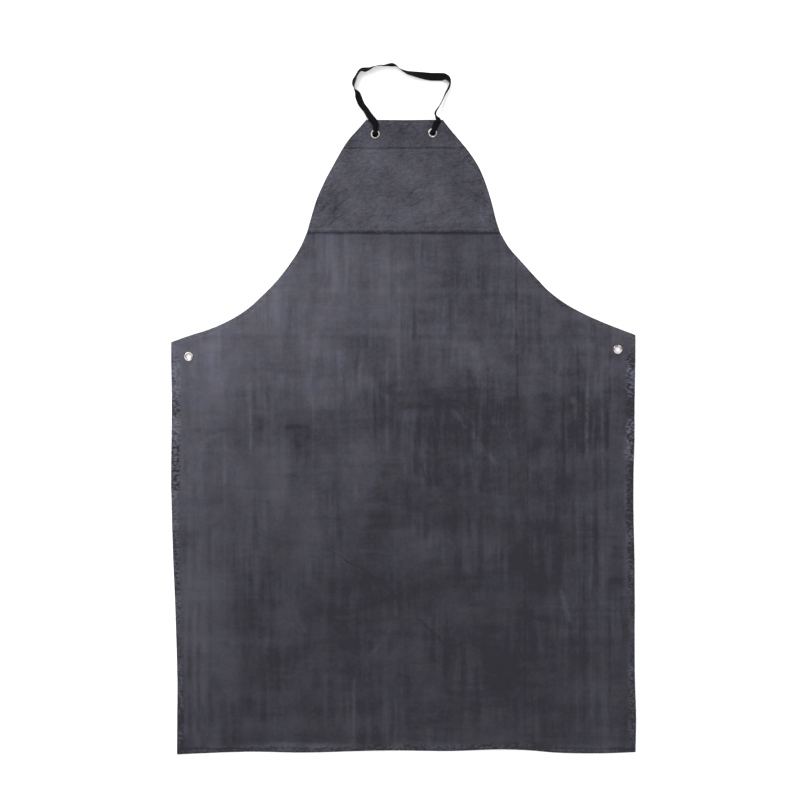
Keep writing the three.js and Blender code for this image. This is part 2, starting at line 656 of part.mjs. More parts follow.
// A flattened overhand knot with its short tail, lying on the ground under an eyelet.
function knotSolid(eyelet, side) {
  const lump = new THREE.SphereGeometry(0.5, KNOT_SIDES, KNOT_RINGS);
  lump.rotateX(Math.PI / 2);
  lump.scale(KNOT_WIDTH, KNOT_LENGTH, KNOT_THICKNESS);
  lump.translate(eyelet.x, eyelet.y, KNOT_THICKNESS / 2);
  const tailLength = KNOT_TAIL + KNOT_LENGTH / 2;
  const tail = new THREE.BoxGeometry(KNOT_TAIL_WIDTH, tailLength, TAPE_THICKNESS);
  tail.translate(0, -tailLength / 2, KNOT_THICKNESS / 3);
  tail.rotateZ(side * KNOT_TAIL_TURN);
  tail.translate(eyelet.x, eyelet.y, 0);
  return toSolid(lump).add(toSolid(tail));
}

function named(name, geometry, material) {
  geometry.computeVertexNormals();
  const mesh = new THREE.Mesh(geometry, material);
  mesh.name = name;
  return mesh;
}

const rows = sheetRows();
const grid = rows.map(rowPoints);
const sheetGeometry = withHoles(layeredSheet(grid, sheetHeights), EYELETS);

const facingGrid = grid
  .filter((_, index) => rows[index].stretch === 'bib' && rows[index].rise < 1)
  .map((row) => row.slice(1, -1));
const facingHeights = (point) => {
  const back = sheetHeights(point).front + GAP;
  return { front: back + facingThickness(point.seam), back };
};
const facingGeometry = withHoles(layeredSheet(facingGrid, facingHeights), NECK_EYELETS);

const part = new THREE.Group();
part.add(named('apron_sheet', sheetGeometry, rubber));
part.add(named('bib_facing', facingGeometry, facingRubber));

const neckSeats = [];
for (const eyelet of EYELETS) {
  const frontLayer = eyelet.neck ? facingGeometry : sheetGeometry;
  const frontSeat = seatHeight(frontLayer, eyelet, EYELET_FLANGE, true);
  const backSeat = seatHeight(sheetGeometry, eyelet, EYELET_BACK_FLANGE, false);
  if (eyelet.neck) neckSeats.push(frontSeat);
  const mesh = named(eyelet.name, eyeletGeometry(frontSeat, backSeat), nickel);
  mesh.position.set(eyelet.x, eyelet.y, 0);
  part.add(mesh);
}

const topStack = faceHeight(facingGeometry, NECK_EYELETS[0].x, SHEET_LENGTH - 3 * TURN, true);
let tape = toSolid(tapeGeometry(tapeStations(neckSeats, topStack)));
tape = tape.add(knotSolid(NECK_EYELETS[0], LEFT));
tape = tape.add(knotSolid(NECK_EYELETS[1], RIGHT));
part.add(named('neck_tape', toGeometry(tape), wovenTape));

const box = new THREE.Box3().setFromObject(part);
const centre = box.getCenter(new THREE.Vector3());
part.position.set(-centre.x, -centre.y, -box.min.z);

export default part;
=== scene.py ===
"""Heavy rubber work apron laid flat: its visual model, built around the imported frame.

Metres, in the frame's own axes: +X to the right as seen from the front, +Y towards the neck, +Z up.
"""

from __future__ import annotations

import logging
import math
from dataclasses import dataclass, field
from enum import Enum
from typing import NamedTuple, Sequence

import bpy
import numpy as np
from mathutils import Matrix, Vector

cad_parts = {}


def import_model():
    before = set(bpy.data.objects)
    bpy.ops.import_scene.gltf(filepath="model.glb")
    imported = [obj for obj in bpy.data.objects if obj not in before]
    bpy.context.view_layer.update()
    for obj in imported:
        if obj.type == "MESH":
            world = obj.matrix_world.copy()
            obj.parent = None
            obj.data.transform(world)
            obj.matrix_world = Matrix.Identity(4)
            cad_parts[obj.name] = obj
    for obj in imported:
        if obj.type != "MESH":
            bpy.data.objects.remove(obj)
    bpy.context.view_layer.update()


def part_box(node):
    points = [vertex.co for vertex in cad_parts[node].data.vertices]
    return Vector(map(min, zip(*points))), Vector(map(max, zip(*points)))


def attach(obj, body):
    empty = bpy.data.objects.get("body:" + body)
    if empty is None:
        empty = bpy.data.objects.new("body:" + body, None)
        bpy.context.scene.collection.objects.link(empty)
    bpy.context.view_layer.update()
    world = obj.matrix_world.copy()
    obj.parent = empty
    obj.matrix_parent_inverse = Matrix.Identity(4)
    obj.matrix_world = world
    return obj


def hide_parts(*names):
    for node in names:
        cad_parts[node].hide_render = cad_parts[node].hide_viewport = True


LOG = logging.getLogger("apron")
MM = 0.001

# One pixel of the photograph on the apron, in metres, and the pixel that shows the frame's origin.
PHOTO_PIXEL = 1.94 * MM
PHOTO_MIDDLE = (403.6, 409.4)


class Side(Enum):
    """The two sides of the apron, as seen from its front."""

    LEFT = -1
    RIGHT = 1


class Stretch(Enum):
    """The stretches that the outline is made of, from the bottom up."""

    SKIRT = "skirt"
    ARMHOLE = "armhole"
    BIB = "bib"


class EdgeRow(NamedTuple):
    """One section of the outline: its rise, and the left and right edge there."""

    rise: float
    left: float
    right: float


class WaveRow(NamedTuple):
    """One place along the bottom edge, and its height as a share of the wave."""

    across: float
    height: float


class Swell(NamedTuple):
    """A place where the sheet stands off the ground."""

    across: float
    along: float
    reach: float
    height: float


class TapeRow(NamedTuple):
    """One station of the neck tape, in shares of the loop's sizes, with the roll in degrees."""

    across: float
    rise: float
    roll: float
    lift: float
    fold: float


# Edges of the skirt, in shares of the waist height and of half the width.
SKIRT_SECTIONS = (
    EdgeRow(0.0, 0.976, 1.0),
    EdgeRow(0.09, 0.975, 1.002),
    EdgeRow(0.18, 0.974, 0.997),
    EdgeRow(0.28, 0.979, 0.996),
    EdgeRow(0.38, 0.985, 0.996),
    EdgeRow(0.47, 0.992, 0.995),
    EdgeRow(0.57, 0.997, 0.991),
    EdgeRow(0.65, 1.001, 0.991),
    EdgeRow(0.74, 1.0, 0.994),
    EdgeRow(0.84, 0.998, 0.996),
    EdgeRow(0.93, 1.0, 0.998),
    EdgeRow(1.0, 1.001, 0.999),
)

# Armholes, from the waist corners to the seam, in shares of the way in.
ARMHOLE_SECTIONS = (
    EdgeRow(0.0, 0.0, 0.0),
    EdgeRow(0.05, 0.112, 0.1),
    EdgeRow(0.12, 0.286, 0.235),
    EdgeRow(0.2, 0.431, 0.37),
    EdgeRow(0.3, 0.559, 0.51),
    EdgeRow(0.42, 0.668, 0.633),
    EdgeRow(0.55, 0.771, 0.729),
    EdgeRow(0.7, 0.866, 0.832),
    EdgeRow(0.85, 0.945, 0.932),
    EdgeRow(1.0, 1.0, 1.0),
)

# Bib edges, from the seam to the top, in shares of the way in.
BIB_SECTIONS = (
    EdgeRow(0.0, 0.0, 0.0),
    EdgeRow(0.11, 0.058, 0.069),
    EdgeRow(0.29, 0.16, 0.158),
    EdgeRow(0.47, 0.311, 0.274),
    EdgeRow(0.6, 0.444, 0.389),
    EdgeRow(0.737, 0.592, 0.573),
    EdgeRow(0.826, 0.706, 0.72),
    EdgeRow(0.915, 0.857, 0.87),
    EdgeRow(1.0, 1.0, 1.0),
)

BOTTOM_SECTIONS = (
    WaveRow(0.0, -0.81),
    WaveRow(0.06, -0.39),
    WaveRow(0.17, 0.16),
    WaveRow(0.29, -0.13),
    WaveRow(0.46, 0.61),
    WaveRow(0.6, 0.37),
    WaveRow(0.7, 1.0),
    WaveRow(0.76, 0.74),
    WaveRow(0.83, -0.16),
    WaveRow(0.92, -0.39),
    WaveRow(1.0, 0.0),
)

SWELLS = (
    Swell(0.4, 0.0, 0.11, 4.0 * MM),
    Swell(-0.08, 0.0, 0.1, 2.5 * MM),
    Swell(-1.0, 0.36, 0.06, 2.5 * MM),
    Swell(1.0, 0.5, 0.06, 3.0 * MM),
    Swell(0.99, 0.23, 0.05, 2.0 * MM),
    Swell(-0.99, 0.13, 0.05, 2.0 * MM),
    Swell(0.1, 0.62, 0.14, 2.0 * MM),
)

# The neck tape's loop, from the left eyelet to the right one.
TAPE_LOOP = (
    TapeRow(-0.978, 0.12, 15, 1.12, 0.72),
    TapeRow(-1.02, 0.17, 24, 1.04, 0.4),
    TapeRow(-1.14, 0.224, 28, 1.0, 0.1),
    TapeRow(-1.286, 0.32, 41, 0.52, 0.0),
    TapeRow(-1.467, 0.425, 37, 0.12, 0.0),
    TapeRow(-1.57, 0.525, 37, 0.0, 0.0),
    TapeRow(-1.617, 0.59, 47, 0.0, 0.0),
    TapeRow(-1.697, 0.645, 74, 0.0, 0.0),
    TapeRow(-1.735, 0.68, 88, 0.0, 0.0),
    TapeRow(-1.753, 0.737, 112, 0.0, 0.0),
    TapeRow(-1.728, 0.795, 118, 0.0, 0.0),
    TapeRow(-1.662, 0.85, 111, 0.0, 0.0),
    TapeRow(-1.56, 0.92, 114, 0.0, 0.0),
    TapeRow(-1.45, 0.944, 126, 0.0, 0.0),
    TapeRow(-1.338, 0.944, 131, 0.0, 0.0),
    TapeRow(-1.2, 0.958, 117, 0.0, 0.0),
    TapeRow(-1.06, 0.987, 105, 0.0, 0.0),
    TapeRow(-0.868, 1.005, 96, 0.0, 0.0),
    TapeRow(-0.693, 1.002, 91, 0.0, 0.0),
    TapeRow(-0.519, 1.01, 79, 0.0, 0.0),
    TapeRow(-0.39, 1.01, 75, 0.0, 0.0),
    TapeRow(-0.261, 0.996, 90, 0.0, 0.0),
    TapeRow(-0.108, 0.947, 104, 0.0, 0.0),
    TapeRow(0.122, 0.9, 123, 0.0, 0.0),
    TapeRow(0.456, 0.873, 143, 0.0, 0.0),
    TapeRow(0.91, 0.847, 170, 0.0, 0.0),
    TapeRow(1.24, 0.845, 172, 0.0, 0.0),
    TapeRow(1.41, 0.838, 166, 0.0, 0.0),
    TapeRow(1.54, 0.798, 128, 0.0, 0.0),
    TapeRow(1.6, 0.74, 101, 0.0, 0.0),
    TapeRow(1.56, 0.68, 101, 0.0, 0.0),
    TapeRow(1.443, 0.592, 96, 0.0, 0.0),
    TapeRow(1.345, 0.497, 92, 0.05, 0.0),
    TapeRow(1.223, 0.4, 93, 0.2, 0.0),
    TapeRow(1.132, 0.334, 97, 0.5, 0.0),
    TapeRow(1.101, 0.283, 107, 0.75, 0.0),
    TapeRow(1.139, 0.234, 116, 0.95, 0.0),
    TapeRow(1.194, 0.184, 138, 1.0, 0.2),
    TapeRow(1.13, 0.13, 152, 1.08, 0.6),
)


class KnotRow(NamedTuple):
    """One place on the tail and knot, in millimetres from the eyelet's axis.

    Wide and thick are shares of the tape's own size.
    """

    out: float
    up: float
    height: float
    wide: float
    thick: float


KNOT_COURSE = (
    KnotRow(11.5, -31.5, 1.0, 0.81, 1.0),
    KnotRow(8.0, -22.0, 1.0, 0.81, 1.0),
    KnotRow(4.6, -12.0, 1.1, 0.6, 1.3),
    KnotRow(2.2, -5.0, 1.2, 0.42, 1.6),
    KnotRow(-1.5, 1.5, 1.2, 0.4, 1.6),
    KnotRow(-4.2, 6.0, 2.0, 0.4, 1.6),
    KnotRow(-0.5, 8.2, 2.9, 0.4, 1.6),
    KnotRow(4.4, 5.5, 3.1, 0.4, 1.6),
    KnotRow(4.9, 0.0, 2.8, 0.4, 1.6),
    KnotRow(1.5, -5.2, 3.6, 0.4, 1.6),
    KnotRow(-3.4, -3.8, 3.9, 0.4, 1.6),
    KnotRow(-2.6, 1.2, 4.1, 0.45, 1.4),
)


class TapeStation(NamedTuple):
    """A place on the tape's middle line, with its roll and how the tape is folded there."""

    place: Vector
    roll: float
    fold: float
    wide: float = 1.0
    thick: float = 1.0


def smooth_value(table: Sequence[NamedTuple], at: np.ndarray | float, column: str) -> np.ndarray:
    """Reads smooth values from a table whose first column runs upwards.

    Args:
        table: Rows with named columns, looked up by their first column.
        at: Where to read the table.
        column: Name of the column to return.

    Returns:
        The column's values there, on a smooth curve through the rows.
    """
    keys = np.array([row[0] for row in table], dtype=float)
    values = np.array([getattr(row, column) for row in table], dtype=float)
    before = np.maximum(np.arange(len(keys)) - 1, 0)
    after = np.minimum(np.arange(len(keys)) + 1, len(keys) - 1)
    slopes = (values[after] - values[before]) / (keys[after] - keys[before])
    where = np.asarray(at, dtype=float)
    row = np.clip(np.searchsorted(keys, where, side="right") - 1, 0, len(keys) - 2)
    span = keys[row + 1] - keys[row]
    t = (where - keys[row]) / span
    near = values[row] * (1 + 2 * t) * (1 - t) ** 2 + slopes[row] * span * t * (1 - t) ** 2
    far = values[row + 1] * (3 - 2 * t) * t**2 + slopes[row + 1] * span * (t - 1) * t**2
    return near + far


def fade(distance: np.ndarray, reach: float) -> np.ndarray:
    """Falls smoothly from 1 at no distance to 0 at the reach."""
    return 0.5 + 0.5 * np.cos(np.pi * np.clip(np.asarray(distance) / reach, 0, 1))


def soft_noise(x: np.ndarray, y: np.ndarray, pitch: tuple[float, float], seed: int) -> np.ndarray:
    """Smooth random heights from -1 to 1.

    Args:
        x: Places across, in metres.
        y: Places along, in metres.
        pitch: Distance between lumps across and along, in metres.
        seed: Which random pattern.

    Returns:
        One height for each place.
    """
    size = 512
    lattice = np.random.default_rng(seed).uniform(-1, 1, (size, size))
    u, v = x / pitch[0] + size / 2, y / pitch[1] + size / 2
    i, j = np.floor(u).astype(int), np.floor(v).astype(int)
    fu, fv = u - i, v - j
    fu, fv = fu * fu * (3 - 2 * fu), fv * fv * (3 - 2 * fv)
    near = lattice[i % size, j % size] * (1 - fu) + lattice[(i + 1) % size, j % size] * fu
    far = lattice[i % size, (j + 1) % size] * (1 - fu) + lattice[(i + 1) % size, (j + 1) % size] * fu
    return near * (1 - fv) + far * fv


@dataclass(frozen=True)
class ApronCut:
    """The cut of the apron: its driving sizes and its outline, in metres."""

    length: float = 1225 * MM
    skirt_width: float = 900 * MM
    waist_left: float = 795 * MM
    waist_right: float = 809 * MM
    bib_depth: float = 217 * MM
    bib_width_at_seam: float = 374 * MM
    bib_width_at_top: float = 148 * MM
    bib_top_offset: float = 2 * MM
    bottom_wave: float = 6 * MM
    bottom_wave_reach: float = 0.1
    thickness: float = 1.5 * MM
    side_hem: float = 9 * MM
    top_hem: float = 54 * MM
    hem_step: float = 0.6 * MM
    hem_landing: float = 15 * MM
    facing_thickness: float = 1.2 * MM
    gap: float = 0.3 * MM
    eyelet_flange: float = 18 * MM
    neck_eyelet_spacing: float = 111 * MM
    neck_eyelet_drop: float = 27 * MM
    neck_eyelet_skew: float = 1.3 * MM
    waist_eyelet_inset: float = 34 * MM
    waist_eyelet_drop: float = 28 * MM
    neck_lift: float = 7.3 * MM
    neck_lift_reach: float = 95 * MM
    waist_lift: float = 1.6 * MM
    waist_lift_reach: float = 55 * MM
    corner_reach: float = 60 * MM

    @property
    def half_width(self) -> float:
        """Half the skirt's width."""
        return self.skirt_width / 2

    @property
    def seam_height(self) -> float:
        """Height of the seam across the chest above the bottom edge."""
        return self.length - self.bib_depth

    def waist(self, side: Side) -> float:
        """Height of the waist corner on the given side."""
        return self.waist_left if side is Side.LEFT else self.waist_right

    def edge(self, side: Side, stretch: Stretch, rise: np.ndarray) -> np.ndarray:
        """Finds points of the outline.

        Args:
            side: Left or right edge.
            stretch: Which stretch of the outline.
            rise: Shares of the way up that stretch.

        Returns:
            An array of x, y pairs, measured from the middle of the bottom edge.
        """
        column = side.name.lower()
        sign = side.value
        rise = np.asarray(rise, dtype=float)
        waist_x = sign * self.half_width * getattr(SKIRT_SECTIONS[-1], column)
        seam_x = sign * self.bib_width_at_seam / 2
        top_x = sign * self.bib_width_at_top / 2 + self.bib_top_offset
        if stretch is Stretch.SKIRT:
            x = sign * self.half_width * smooth_value(SKIRT_SECTIONS, rise, column)
            y = rise * self.waist(side)
        elif stretch is Stretch.ARMHOLE:
            x = waist_x + (seam_x - waist_x) * smooth_value(ARMHOLE_SECTIONS, rise, column)
            y = self.waist(side) + (self.seam_height - self.waist(side)) * rise
        else:
            x = seam_x + (top_x - seam_x) * smooth_value(BIB_SECTIONS, rise, column)
            y = self.seam_height + rise * self.bib_depth
        return np.stack([x, y], axis=-1)

    def inward(self, side: Side, stretch: Stretch, rise: np.ndarray) -> np.ndarray:
        """The unit direction into the sheet, square to the outline, at each rise."""
        reach = 0.01
        rise = np.asarray(rise, dtype=float)
        low = self.edge(side, stretch, np.maximum(rise - reach, 0))
        high = self.edge(side, stretch, np.minimum(rise + reach, 1))
        along = high - low
        along /= np.linalg.norm(along, axis=-1, keepdims=True)
        return np.stack([-side.value * along[..., 1], side.value * along[..., 0]], axis=-1)

    def _inset_direction(self, side: Side, stretch: Stretch, rise: float) -> np.ndarray:
        """The way in from the outline along a row, which advances one unit square to the edge.

        Rows are level on the skirt and the bib and square to the edge on the armholes. They meet on
        the mitre line of the waist corner.
        """
        normal = self.inward(side, stretch, rise)
        tangent = np.array([side.value * normal[1], -side.value * normal[0]])
        level = -normal[1] / tangent[1]
        below = self.inward(side, Stretch.SKIRT, 1.0)
        above = self.inward(side, Stretch.ARMHOLE, 0.0)
        mitre = math.sqrt((1 - below @ above) / (1 + below @ above))
        armhole_height = self.seam_height - self.waist(side)
        if stretch is Stretch.SKIRT:
            share = float(fade((1 - rise) * self.waist(side), self.corner_reach))
            slant = level * (1 - share) - mitre * share
        elif stretch is Stretch.ARMHOLE:
            into = float(np.linalg.norm(self.edge(side, stretch, rise) - self.edge(side, stretch, 0.0)))
            slant = mitre * float(fade(into, self.corner_reach))
            slant += level * float(fade((1 - rise) * armhole_height, self.corner_reach))
        else:
            slant = level
        return normal + slant * tangent

    def inset(self, side: Side, stretch: Stretch, rise: float, inset: np.ndarray) -> np.ndarray:
        """Finds points of one row at some distances in from the outline.

        Args:
            side: Left or right edge.
            stretch: The row's stretch.
            rise: The row's rise.
            inset: Distances in from the edge.

        Returns:
            An array of x, y pairs.
        """
        start = self.edge(side, stretch, rise)
        inset = np.asarray(inset, dtype=float)
        return start + inset[:, None] * self._inset_direction(side, stretch, rise)

    def eyelets(self) -> dict[str, tuple[float, float]]:
        """Node name of each eyelet, and its centre."""
        middle = self.bib_top_offset / 2
        half = self.neck_eyelet_spacing / 2
        neck_y = self.length - self.neck_eyelet_drop
        left_x = float(self.edge(Side.LEFT, Stretch.SKIRT, 1.0)[0])
        right_x = float(self.edge(Side.RIGHT, Stretch.SKIRT, 1.0)[0])
        return {
            "neck_eyelet_left": (middle - half, neck_y - self.neck_eyelet_skew),
            "neck_eyelet_right": (middle + half, neck_y + self.neck_eyelet_skew),
            "waist_eyelet_left": (
                left_x + self.waist_eyelet_inset,
                self.waist_left - self.waist_eyelet_drop,
            ),
            "waist_eyelet_right": (
                right_x - self.waist_eyelet_inset,
                self.waist_right - self.waist_eyelet_drop,
            ),
        }

    def ground_lift(self, x: np.ndarray, y: np.ndarray) -> np.ndarray:
        """How high the underside stands off the ground: over knots, eyelets and soft swells."""
        lift = np.zeros_like(x)
        for name, (ex, ey) in self.eyelets().items():
            neck = name.startswith("neck")
            distance = np.maximum(np.hypot(x - ex, y - ey) - self.eyelet_flange, 0)
            reach = self.neck_lift_reach if neck else self.waist_lift_reach
            height = self.neck_lift if neck else self.waist_lift
            lift = np.maximum(lift, height * fade(distance, reach))
        for swell in SWELLS:
            dx = x - swell.across * self.half_width
            dy = y - swell.along * self.length
            hump = swell.height * fade(np.hypot(dx, dy), swell.reach * self.skirt_width)
            lift = np.maximum(lift, hump)
        return lift

    def away_from_eyelets(self, x: np.ndarray, y: np.ndarray) -> np.ndarray:
        """0 under the eyelets' flanges, rising to 1 a little way off."""
        clear = np.ones_like(x)
        for ex, ey in self.eyelets().values():
            off = np.hypot(x - ex, y - ey) - self.eyelet_flange
            clear = np.minimum(clear, 1 - fade(off, self.eyelet_flange))
        return clear


class PuckerZone(NamedTuple):
    """A stretch of hem, by height above the bottom edge, where the crinkles are stronger."""

    side: Side
    low: float
    high: float
    strength: float


@dataclass(frozen=True)
class HemPuckers:
    """The crinkles that the stitched hems leave along the edges."""

    seed: int = 11
    shortest: float = 8 * MM
    longest: float = 21 * MM
    depth: float = 0.75 * MM
    band: float = 17 * MM
    usual_strength: float = 0.5
    zone_blend: float = 0.03
    zones: tuple[PuckerZone, ...] = (
        PuckerZone(Side.RIGHT, 0.56, 0.635, 2.1),
        PuckerZone(Side.RIGHT, 0.455, 0.535, 2.1),
        PuckerZone(Side.RIGHT, 0.25, 0.6, 1.3),
        PuckerZone(Side.RIGHT, 0.00, 0.15, 0.9),
        PuckerZone(Side.LEFT, 0.40, 0.635, 2.0),
        PuckerZone(Side.LEFT, 0.20, 0.40, 1.1),
        PuckerZone(Side.LEFT, 0.00, 0.15, 0.9),
    )

    def along_edge(self, side: Side, run: np.ndarray, inset: np.ndarray) -> np.ndarray:
        """Height of the crinkles near one edge.

        Args:
            side: Left or right edge.
            run: Distance of each row along the edge, a column of values.
            inset: Distance of each point in from the edge, rows by columns.

        Returns:
            Heights in metres, rows by columns, none of them below zero.
        """
        rng = np.random.default_rng(self.seed + side.value)
        height = np.zeros(np.broadcast(run, inset).shape)
        at = 0.0
        end = float(np.max(run))
        while at < end:
            at += rng.uniform(self.shortest, self.longest)
            width = rng.uniform(0.28, 0.5) * self.longest * 0.5
            slant = rng.uniform(-0.9, 0.9)
            reach = self.band * rng.uniform(0.55, 1.1)
            size = self.depth * rng.uniform(0.35, 1.4)
            offset = (run - at - slant * inset) / width
            height += size * np.exp(-(offset**2)) * fade(inset - 1 * MM, reach)
        return height

    def strength(self, cut: ApronCut, side: Side, y: np.ndarray) -> np.ndarray:
        """How strong the crinkles are at each height of the skirt, from the zones."""
        share = y / cut.length
        total = np.full_like(y, self.usual_strength)
        for zone in self.zones:
            if zone.side is side:
                inside = np.clip((share - zone.low) / self.zone_blend + 0.5, 0, 1)
                inside = inside * np.clip((zone.high - share) / self.zone_blend + 0.5, 0, 1)
                total = np.maximum(total, zone.strength * inside)
        return total


@dataclass(frozen=True)
class SoftRipples:
    """Low waves that the sheet keeps from being rolled and folded."""

    height: float = 0.34 * MM
    upright_height: float = 0.12 * MM
    cross_pitch: tuple[float, float] = (150 * MM, 17 * MM)
    upright_pitch: tuple[float, float] = (13 * MM, 260 * MM)
    lump_pitch: tuple[float, float] = (46 * MM, 38 * MM)

    def lift(self, cut: ApronCut, x: np.ndarray, y: np.ndarray) -> np.ndarray:
        """How far the waves raise the sheet, none of it below zero."""
        cross = 0.5 + 0.5 * soft_noise(x, y, self.cross_pitch, 3)
        upright = 0.5 + 0.5 * soft_noise(x, y, self.upright_pitch, 4)
        lump = 0.5 + 0.5 * soft_noise(x, y, self.lump_pitch, 6)
        total = self.height * (cross + lump) + self.upright_height * upright
        return total * cut.away_from_eyelets(x, y)


@dataclass
class SheetGrid:
    """A grid of sheet points, with what is known of each point's place in the cut."""

    x: np.ndarray
    y: np.ndarray
    side_inset: np.ndarray
    up: np.ndarray
    down: np.ndarray
    seam: np.ndarray
    run_left: np.ndarray
    run_right: np.ndarray
    nearer_left: np.ndarray

    def part(self, rows: slice | np.ndarray, columns: slice) -> SheetGrid:
        """A smaller grid cut from this one."""
        names = ("x", "y", "side_inset", "up", "down", "seam", "run_left", "run_right", "nearer_left")
        return SheetGrid(**{name: getattr(self, name)[rows, columns] for name in names})


@dataclass(frozen=True)
class SheetSurface:
    """Front and back heights of the rubber sheet and its facing."""

    cut: ApronCut
    puckers: HemPuckers
    welt_height: float = 0.7 * MM
    welt_depth: float = 3 * MM
    stitch_depth: float = 7 * MM
    stitch_sink: float = 0.35 * MM
    hem_stitch_inset: float = 7 * MM
    hem_stitch_sink: float = 0.3 * MM
    hem_stitch_width: float = 1.2 * MM
    rim: float = 0.35 * MM
    ripples: SoftRipples = SoftRipples()

    def folded(self, grid: SheetGrid) -> np.ndarray:
        """Share of a hem's thickness that carries the sheet at each point."""
        landing = self.cut.hem_landing - self.cut.hem_step
        narrow = np.minimum(grid.side_inset, grid.up)
        side = fade(np.maximum(narrow - self.cut.side_hem - self.cut.hem_step, 0), landing)
        top = fade(np.maximum(grid.down - self.cut.top_hem - self.cut.hem_step, 0), landing)
        return np.maximum(side, top)

    def crinkle(self, grid: SheetGrid) -> np.ndarray:
        """Height of the hem puckers at each point of the skirt and armholes."""
        total = np.zeros_like(grid.x)
        for side in Side:
            run = grid.run_left if side is Side.LEFT else grid.run_right
            mine = grid.nearer_left if side is Side.LEFT else ~grid.nearer_left
            near = mine & (grid.side_inset < 2 * self.puckers.band)
            columns = near.any(axis=0)
            if not columns.any():
                continue
            height = self.puckers.along_edge(side, run[:, columns], grid.side_inset[:, columns])
            height *= self.puckers.strength(self.cut, side, grid.y[:, columns])
            total[:, columns] += np.where(near[:, columns], height, 0)
        return total * np.clip(1 - grid.seam / (10 * MM), 0, 1)

    def sheet(self, grid: SheetGrid) -> tuple[np.ndarray, np.ndarray]:
        """Front and back heights of the sheet at each grid point."""
        cut = self.cut
        t = cut.thickness
        lift = cut.ground_lift(grid.x, grid.y) + self.ripples.lift(cut, grid.x, grid.y)
        narrow = np.minimum(grid.side_inset, grid.up)
        outer = np.minimum(narrow, grid.down)
        turn = t - np.sqrt(np.maximum(t**2 - np.maximum(t - outer, 0) ** 2, self.rim**2))
        groove = np.exp(-(((narrow - self.hem_stitch_inset) / self.hem_stitch_width) ** 2))
        front = lift + t * (1 + self.folded(grid)) + self.crinkle(grid) - turn
        front -= self.hem_stitch_sink * groove * (grid.seam <= 0)
        in_hem = (narrow <= cut.side_hem + 1e-6) | (grid.down <= cut.top_hem + 1e-6)
        back = np.where(in_hem, lift + turn, lift + t * self.folded(grid))
        return front, back

    def facing(self, grid: SheetGrid) -> tuple[np.ndarray, np.ndarray]:
        """Front and back heights of the bib facing at each grid point."""
        front, _ = self.sheet(grid)
        back = front + self.cut.gap
        welt = self.welt_height * fade(np.abs(grid.seam - self.welt_depth), 1.3 * self.welt_depth)
        sink = self.stitch_sink * fade(np.abs(grid.seam - self.stitch_depth), self.welt_depth)
        return back + self.cut.facing_thickness + welt - sink, back


